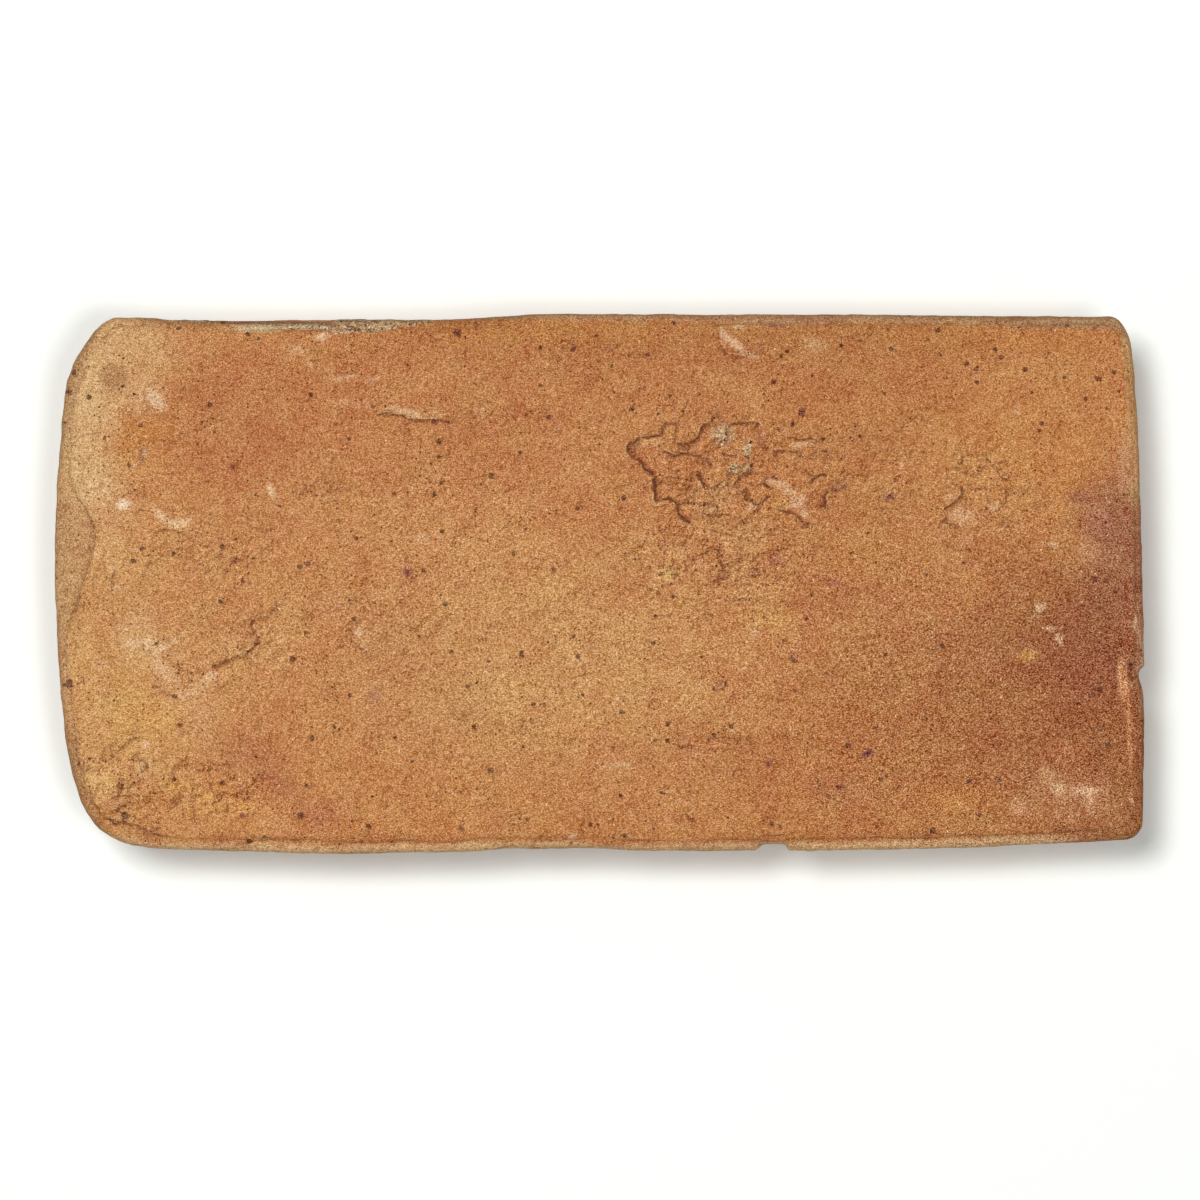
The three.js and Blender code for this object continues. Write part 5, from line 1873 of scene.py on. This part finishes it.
@dataclass(frozen=True)
class FiredClay:
    """The brick's finish: matt sandy clay, with scuffs, old mortar, torn edges in painted light and shade,
    and specks.

    Each step lays its colour over what the steps before it left on the coat.
    """

    name: str = "fired_clay"
    roughness: float = 0.9
    roughness_swing: float = 0.1
    shine: float = 0.05
    eye: float = 2.4

    # Millimetres of relief.
    sand_height: float = 0.05
    clot_height: float = 0.08
    shade_depth: float = 0.16
    foot_depth: float = 0.1

    # Where the painted shade and highlight lines along a tear start and end, in millimetres from it, and the
    # fronts of steps.
    foot_start: Pair = (-0.45, -0.12)
    foot_end: Pair = (0.1, -0.04)
    brow_start: Pair = (0.02, 0.14)
    brow_end: Pair = (0.6, 0.25)
    step_front: Pair = (0.84, 1.0)
    step_shade: Pair = (0.1, 0.9)
    near_shade: float = 0.6
    speck_edge: Pair = (1.3, 0.72)

    # Tones: lit is painted highlight, shaded is painted shade, torn is darker painted shade at feet of
    # tears.
    scuff_and_highlight: Tone = (220, 182, 146)
    lit: Tone = (226, 178, 124)
    shaded: Tone = (138, 78, 46)
    torn: Tone = (122, 67, 38)
    burnt: tuple[Tone, Tone] = ((80, 38, 26), (112, 52, 54))
    mortar: tuple[Tone, Tone] = ((150, 118, 88), (200, 172, 132))
    black_sand: Tone = (70, 52, 40)
    white_sand: Tone = (236, 220, 190)

    # How many steps a noise is cut into, and how far ahead it is read, in millimetres.
    curl_steps: Pair = (9, 0.4)
    flap_steps: Pair = (8.5, 0.34)

    # Shares of the tones, where nothing else thins them.
    scuff_and_highlight_cover: float = 0.75
    mortar_cover: float = 0.7
    speck_cover: float = 0.8
    foot_shade_cover: float = 0.66
    flap_cover: float = 0.68

    # Tints added to the colour as the eye sees it.
    seen_shift: Triple = (-0.015, -0.015, -0.024)
    ochre_tint: Triple = (0.016, 0.034, 0.022)
    blush_tint: Triple = (-0.006, -0.02, -0.006)
    sand_tint: Triple = (0.85, 1, 1.05)
    darkest: float = 0.08

    # How far each of these swings the sand's lightness.
    grain_swing: float = 0.47
    clot_swing: float = 0.045
    drag_swing: float = 0.07
    drift_swing: float = 0.04
    streak_swing: float = 0.035
    plate_swing: float = 0.025

    # How patterns are drawn out along the length, and the sizes of grains in millimetres.
    drawn_out: Triple = (0.8, 1.0, 1.0)
    streaked_out: Triple = (0.15, 1.0, 1.0)
    dragged_out: Triple = (0.4, 1.0, 1.0)
    grain: float = 0.13
    mortar_grain: float = 0.34
    speck_stray: float = 0.45

    sand: Mottle = Mottle(0.2, 1.0)
    clots: Mottle = Mottle(0.95, 2.0, 0.55, 0.3)
    drift: Mottle = Mottle(5.0, 4.0, 0.6, 0.7)
    mortared: Mottle = Mottle(2.0, 2.0, 0.6, 3.9, (0.35, 0.65))
    wobbled: Mottle = Mottle(2.0, 4.0, 0.6, 2.9)
    broken: Mottle = Mottle(2.6, 2.0, 0.5, 4.6, (0.35, 0.55))
    curled: Mottle = Mottle(6.5, 4.0, 0.6, 5.3)
    flapped: Mottle = Mottle(3.8, 4.0, 0.6, 8.3)
    wrinkled: Mottle = Mottle(5.0, 2.0, 0.5, 6.1)
    ragged: Mottle = Mottle(0.4, 1.0, 0.5, 7.1)
    crowded: Mottle = Mottle(9.0, 3.0, 0.6, 9.7, (0.36, 0.6))
    ochre: Mottle = Mottle(8.0, 5.0, 0.6, 1.1, (0.4, 0.6))
    blush: Mottle = Mottle(4.2, 4.0, 0.6, 2.3, (0.55, 0.68))
    streaked: Mottle = Mottle(1.7, 3.0, 0.6, 1.7)
    dragged: Mottle = Mottle(0.6, 2.0, 0.5, 3.3)

    def make(self) -> bpy.types.Material:
        """Lays every step, then gives the skin its fine relief.

        Returns:
            The material.
        """
        coat = Coat(self)
        # Pale scuffs, and one painted highlight on a lit ridge.
        coat.lay(coat.pale * self.scuff_and_highlight_cover, self.scuff_and_highlight)
        self.lay_mortar(coat)
        foot, brow = self.torn_lines(coat)
        shade, plates = self.lay_edges(coat, foot, brow)
        self.lay_specks(coat)
        self.lay_sand(coat, plates)
        relief = coat.sand * self.sand_height + coat.clots * self.clot_height
        relief = relief - shade * self.shade_depth - foot * self.foot_depth
        bump = {"Strength": 1.0, "Distance": MM, "Height": relief}
        sockets = {
            "Base Color": coat.colour,
            "Roughness": coat.sand * self.roughness_swing + self.roughness,
            "Specular IOR Level": self.shine,
            "Normal": coat.graph.wire("ShaderNodeBump", sockets=bump),
        }
        shader = coat.graph.wire("ShaderNodeBsdfPrincipled", sockets=sockets)
        coat.graph.add("ShaderNodeOutputMaterial", sockets={"Surface": shader})
        return coat.graph.owner

    def lay_mortar(self, coat: Coat) -> None:
        """Lays old mortar over the clay: grey-buff, with black and white sand.

        Args:
            coat: The colour so far.
        """
        crust = (coat.graph.kept("crust") + coat.clots * 0.6 + coat.sand * 0.5).rise(0.2, 0.85)
        share = coat.graph.patchy(coat.place, self.mortared)
        body = coat.graph.mix(share, *(fired(*tone) for tone in self.mortar))
        coat.colour = coat.graph.mix(crust * self.mortar_cover, coat.colour, body)
        chance = coat.graph.grains(coat.place, self.mortar_grain)
        coat.lay(chance.rise(0.8, 0.84) * crust * 0.85, self.black_sand)
        coat.lay(chance.rise(0.12, 0.08) * crust * 0.7, self.white_sand)

    def torn_lines(self, coat: Coat) -> tuple[Wire, Wire]:
        """The painted shade and highlight lines along the tears, each set with an attribute of its own.

        The attribute holds the offset from the nearest tear, how near it is, and its strength.

        Args:
            coat: The colour so far.

        Returns:
            The dark foot of painted shade on the low side, and the brow of painted highlight on the high
            side.
        """
        wobble = (coat.graph.noise(coat.place, self.wobbled) - 0.5) * 2.0 + coat.clots * 0.8
        feet, brows = [], []
        for number in range(TEAR_SETS):
            gap, near, strength = coat.parts(f"tear_{number}")
            gap = (gap + wobble) / strength
            kept = near.rise(0.15, 0.5) * strength
            feet.append(gap.rise(*self.foot_start) * gap.rise(*self.foot_end) * kept)
            brows.append(gap.rise(*self.brow_start) * gap.rise(*self.brow_end) * kept)
        broken = coat.graph.patchy(coat.place, self.broken) * 0.45 + 0.55
        return reduce(Wire.at_least, feet) * broken, reduce(Wire.at_least, brows)

    def lay_edges(self, coat: Coat, foot: Wire, brow: Wire) -> tuple[Wire, Wire]:
        """Lays the light and shade of the tears, and of the skin where it is curdled or flakes.

        Args:
            coat: The colour so far.
            foot: The dark lines under the tears.
            brow: The light lines over them.

        Returns:
            The shade below the tears, and how light or dark each flake of the curdled skin is.
        """
        stray = coat.clots * 0.3 + coat.drift * 0.25
        fronts, fronts_lit, plates = self.raked([part + stray for part in coat.parts("ledge")])
        curls, curls_lit, _ = self.raked(self.ground(coat, self.curled, *self.curl_steps))
        flaps, flaps_lit, small_plates = self.raked(self.ground(coat, self.flapped, *self.flap_steps))
        wrinkled = coat.graph.noise(coat.place, self.wrinkled)
        faint = wrinkled.rise(0.44, 0.53) * 0.6
        broken = wrinkled.rise(0.64, 0.5) * coat.curdled

        lit = (fronts_lit * coat.curdled * 0.6).at_least(flaps_lit * broken).at_least(curls_lit * faint)
        # Painted highlight: brows of tears and step edges that face the light.
        coat.lay((lit * 0.5 + brow * 0.6).at_most(1.0), self.lit)
        shade = coat.graph.kept("shade")
        shade = (shade + coat.clots * 0.6).rise(0.0, 0.85) * shade.rise(0.0, 0.15)
        # Painted shade: below the tears, behind the south lip, and at steps facing away from the light.
        painted_shade = shade * 0.8 + fronts * coat.curdled * 0.5 + curls * faint * 0.83
        coat.lay(painted_shade.at_most(1.0) * (1 - coat.pale * 0.8), self.shaded)
        deep = coat.graph.kept("crinkle").rise(0.6, 0.95) * 0.3
        # Darker painted shade at the feet of tears and of the small flaps' steps.
        dark = (foot * self.foot_shade_cover).at_least(flaps * (broken * self.flap_cover + deep))
        coat.lay(dark * (1 - coat.pale * 0.6), self.torn)
        return shade, (plates + small_plates) * coat.curdled

    def ground(self, coat: Coat, mottle: Mottle, count: float, ahead: float) -> list[Wire]:
        """A field to cut into steps, read here, ahead towards the light, behind, and further ahead.

        Args:
            coat: The colour so far.
            mottle: The noise.
            count: How many steps it makes from 0 to 1.
            ahead: How far ahead it is read first, in millimetres.

        Returns:
            The four readings.
        """
        readings = []
        for reach in (0, ahead, -ahead / 2, 2.4 * ahead):
            move = tuple(reach * MM * part for part in TOWARDS_LIGHT)
            readings.append(coat.graph.noise(coat.place + move, mottle) * count)
        return readings

    def raked(self, readings: list[Wire]) -> tuple[Wire, Wire, Wire]:
        """Light and shade on ground that is cut into steps.

        Ground that stands a step higher towards the light throws shade here. Ground that stands a step
        higher behind makes this the lit foot of a front.

        Args:
            readings: The field here, ahead, behind, and perhaps further ahead for a softer shade.

        Returns:
            The shade, the light, and a number from -0.5 to 0.5 that changes from step to step.
        """
        steps = [each - each % 1 + (each % 1).rise(*self.step_front) for each in readings]
        here, ahead, behind, *further = steps
        shade = (ahead - here).rise(*self.step_shade)
        if further:
            far_shade = (further[0] - here).rise(*self.step_shade)
            shade = shade * self.near_shade + far_shade * (1 - self.near_shade)
        return shade, (behind - here).rise(*self.step_shade), (here * GOLDEN) % 1 - 0.5

    def lay_specks(self, coat: Coat) -> None:
        """Lays the specks: those strewn at random, then those whose places are known.

        Args:
            coat: The colour so far.
        """
        stray = coat.graph.noise(coat.place, self.ragged, "Color") + (-0.5,) * 3
        ragged = coat.graph.kept("unfolded", "Vector") + stray * (self.speck_stray * MM)
        crowd = coat.graph.patchy(coat.place, self.crowded) * 0.6 + 0.4
        for scatter in SCATTERS:
            share = scatter.strewn(ragged) * scatter.strength
            coat.lay(share * crowd if scatter.crowded else share, scatter.tone)
        tones = [fired(*tone) for tone in self.burnt]
        for number in range(SPECK_SETS):
            x, y, hue = coat.parts(f"speck_{number}")
            radius = (x * x + y * y).root() + coat.clots * 2.4 + coat.sand * 1.2
            share = radius.rise(*self.speck_edge) * self.speck_cover
            coat.colour = coat.graph.mix(share, coat.colour, coat.graph.mix(hue, *tones))

    def lay_sand(self, coat: Coat, plates: Wire) -> None:
        """Adds patches of ochre and of blush, then sand over all.

        They are added to the colour as the eye sees it, so that they show alike on pale clay and dark.

        Args:
            coat: The colour so far.
            plates: How light or dark each flake of the curdled skin is.
        """
        graph, place = coat.graph, coat.place
        ochre = graph.patchy(place, self.ochre) - 0.5
        blush = graph.patchy(place, self.blush) - 0.2
        seen = coat.colour.power(1 / self.eye) + self.seen_shift
        seen = seen + ochre * self.ochre_tint + blush * self.blush_tint
        streaks = graph.noise(place * self.streaked_out, self.streaked) - 0.5
        drag = graph.noise(place * self.dragged_out, self.dragged) - 0.5
        swing = (graph.grains(coat.drawn, self.grain) - 0.5) * (graph.kept("grit") * self.grain_swing)
        clotted = coat.clots * self.clot_swing + drag * self.drag_swing
        swing = swing + clotted * (1 - coat.curdled * 0.6)
        swing = swing + coat.drift * self.drift_swing + streaks * self.streak_swing
        swing = swing + plates * self.plate_swing
        coat.colour = (seen + swing * self.sand_tint).at_least(self.darkest).power(self.eye)


# ---- The studio ----


@dataclass(frozen=True)
class Lamp:
    """A square soft lamp that gives a level white sheet a share of its brightness."""

    name: str
    azimuth: float
    elevation: float
    share: float
    side: float = 0.8
    distance: float = 1.5

    def hang(self) -> None:
        """Hangs the lamp, aimed at the origin.

        The sheet's brightness is power x sin(elevation) / (pi^2 x distance^2), which gives the power.
        """
        around, rise = math.radians(self.azimuth), math.radians(self.elevation)
        light = bpy.data.lights.new(self.name, "AREA")
        light.size = self.side
        light.energy = self.share * math.pi**2 * self.distance**2 / math.sin(rise)
        lamp = bpy.data.objects.new(self.name, light)
        away = self.distance * math.cos(rise)
        lamp.location = (away * math.cos(around), away * math.sin(around), self.distance * math.sin(rise))
        lamp.rotation_euler = (0, math.pi / 2 - rise, around)
        bpy.context.scene.collection.objects.link(lamp)


@dataclass(frozen=True)
class Studio:
    """The pale floor, the lamps and the camera over the brick."""

    view_width: float
    view_height: float
    centre_y: float
    lens: float = 180.0
    sensor: float = 36.0
    sky: float = 0.1
    floor_side: float = 6.0
    floor_paint: Triple = (0.948, 0.985, 0.955)
    floor_glow: Triple = (0.05, 0.05, 0.045)
    floor_dims: Pair = (0.22, 2.0)
    lamps: tuple[Lamp, ...] = (
        Lamp("key", azimuth=138, elevation=82, share=0.66, side=0.21),
        Lamp("fill", azimuth=-32, elevation=83.4, share=0.27, side=0.15),
    )

    def build(self) -> None:
        """Sets the whole stage."""
        for lamp in self.lamps:
            lamp.hang()
        self.light_sky()
        self.lay_floor()
        self.place_camera()
        bpy.context.scene.view_settings.view_transform = "Standard"

    def light_sky(self) -> None:
        """Gives the room an even white light, and shows plain white behind everything."""
        graph = Graph(bpy.data.worlds.new("room"))
        seen = graph.wire("ShaderNodeLightPath", "Is Camera Ray")
        sockets = {"Color": (1, 1, 1), "Strength": seen * (1 - self.sky) + self.sky}
        background = graph.wire("ShaderNodeBackground", sockets=sockets)
        graph.add("ShaderNodeOutputWorld", sockets={"Surface": background})
        bpy.context.scene.world = graph.owner

    def lay_floor(self) -> None:
        """Lays a level sheet that shows white to the eye and keeps the brick's shadow.

        Far from the lamps, where the sheet would grow dim, its glow makes up for it.
        """
        half = self.floor_side / 2
        corners = np.array([(-half, -half, 0), (half, -half, 0), (half, half, 0), (-half, half, 0)])
        sheet = new_piece("floor", corners, np.array([[0, 1, 2, 3]]), np.zeros((0, 3), dtype=np.int64))
        graph = Graph(bpy.data.materials.new("white_floor"))
        x, y, _ = graph.parts(graph.wire("ShaderNodeTexCoord", "Object"))
        dimmed = (x * x + y * y).root().rise(*self.floor_dims)
        glowing = graph.mix(dimmed, self.floor_glow, (1, 1, 1))
        glow = graph.wire("ShaderNodeEmission", sockets={"Color": glowing})
        matt = graph.wire("ShaderNodeBsdfDiffuse", sockets={"Color": self.floor_paint})
        both = graph.wire("ShaderNodeAddShader", sockets={0: matt, 1: glow})
        path = graph.add("ShaderNodeLightPath").outputs
        rays = [Wire(graph, path[f"Is {kind} Ray"]) for kind in ("Camera", "Glossy", "Transmission")]
        shown = graph.wire("ShaderNodeMixShader", sockets={0: sum(rays[1:], rays[0]), 1: matt, 2: both})
        graph.add("ShaderNodeOutputMaterial", sockets={"Surface": shown})
        sheet.data.materials.append(graph.owner)

    def place_camera(self) -> None:
        """Looks straight down, from where the view's width just fills the picture."""
        camera = bpy.data.cameras.new("camera")
        camera.lens = self.lens
        camera.sensor_width = self.sensor
        eye = bpy.data.objects.new("camera", camera)
        distance = self.view_width * self.lens / self.sensor
        eye.location = (0, self.centre_y * MM, (self.view_height + distance) * MM)
        bpy.context.scene.collection.objects.link(eye)
        bpy.context.scene.camera = eye


# ---- Putting it together ----


def main() -> None:
    """Builds the brick and the studio."""
    logging.basicConfig(level=logging.INFO, format="%(name)s: %(message)s")
    low, high = (np.array(corner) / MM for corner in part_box("brick"))
    length, width, thickness = high - low

    skin = BrickSkin(length, width, thickness)
    piece = skin.mesh()
    piece.data.materials.append(FiredClay().make())
    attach(piece, "root")
    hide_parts("brick")
    log.info("%s: %d points, %d faces", piece.name, len(piece.data.vertices), len(piece.data.polygons))

    pixels_per_mm = LIP_PIXELS / length
    lip_height = thickness - skin.section.lip_depth
    studio = Studio(VIEW_PIXELS / pixels_per_mm, lip_height, centre_y=CENTRE_PIXELS / pixels_per_mm)
    studio.build()
    log.info("studio: %d lamps", len(studio.lamps))


if __name__ == "__main__":
    main()
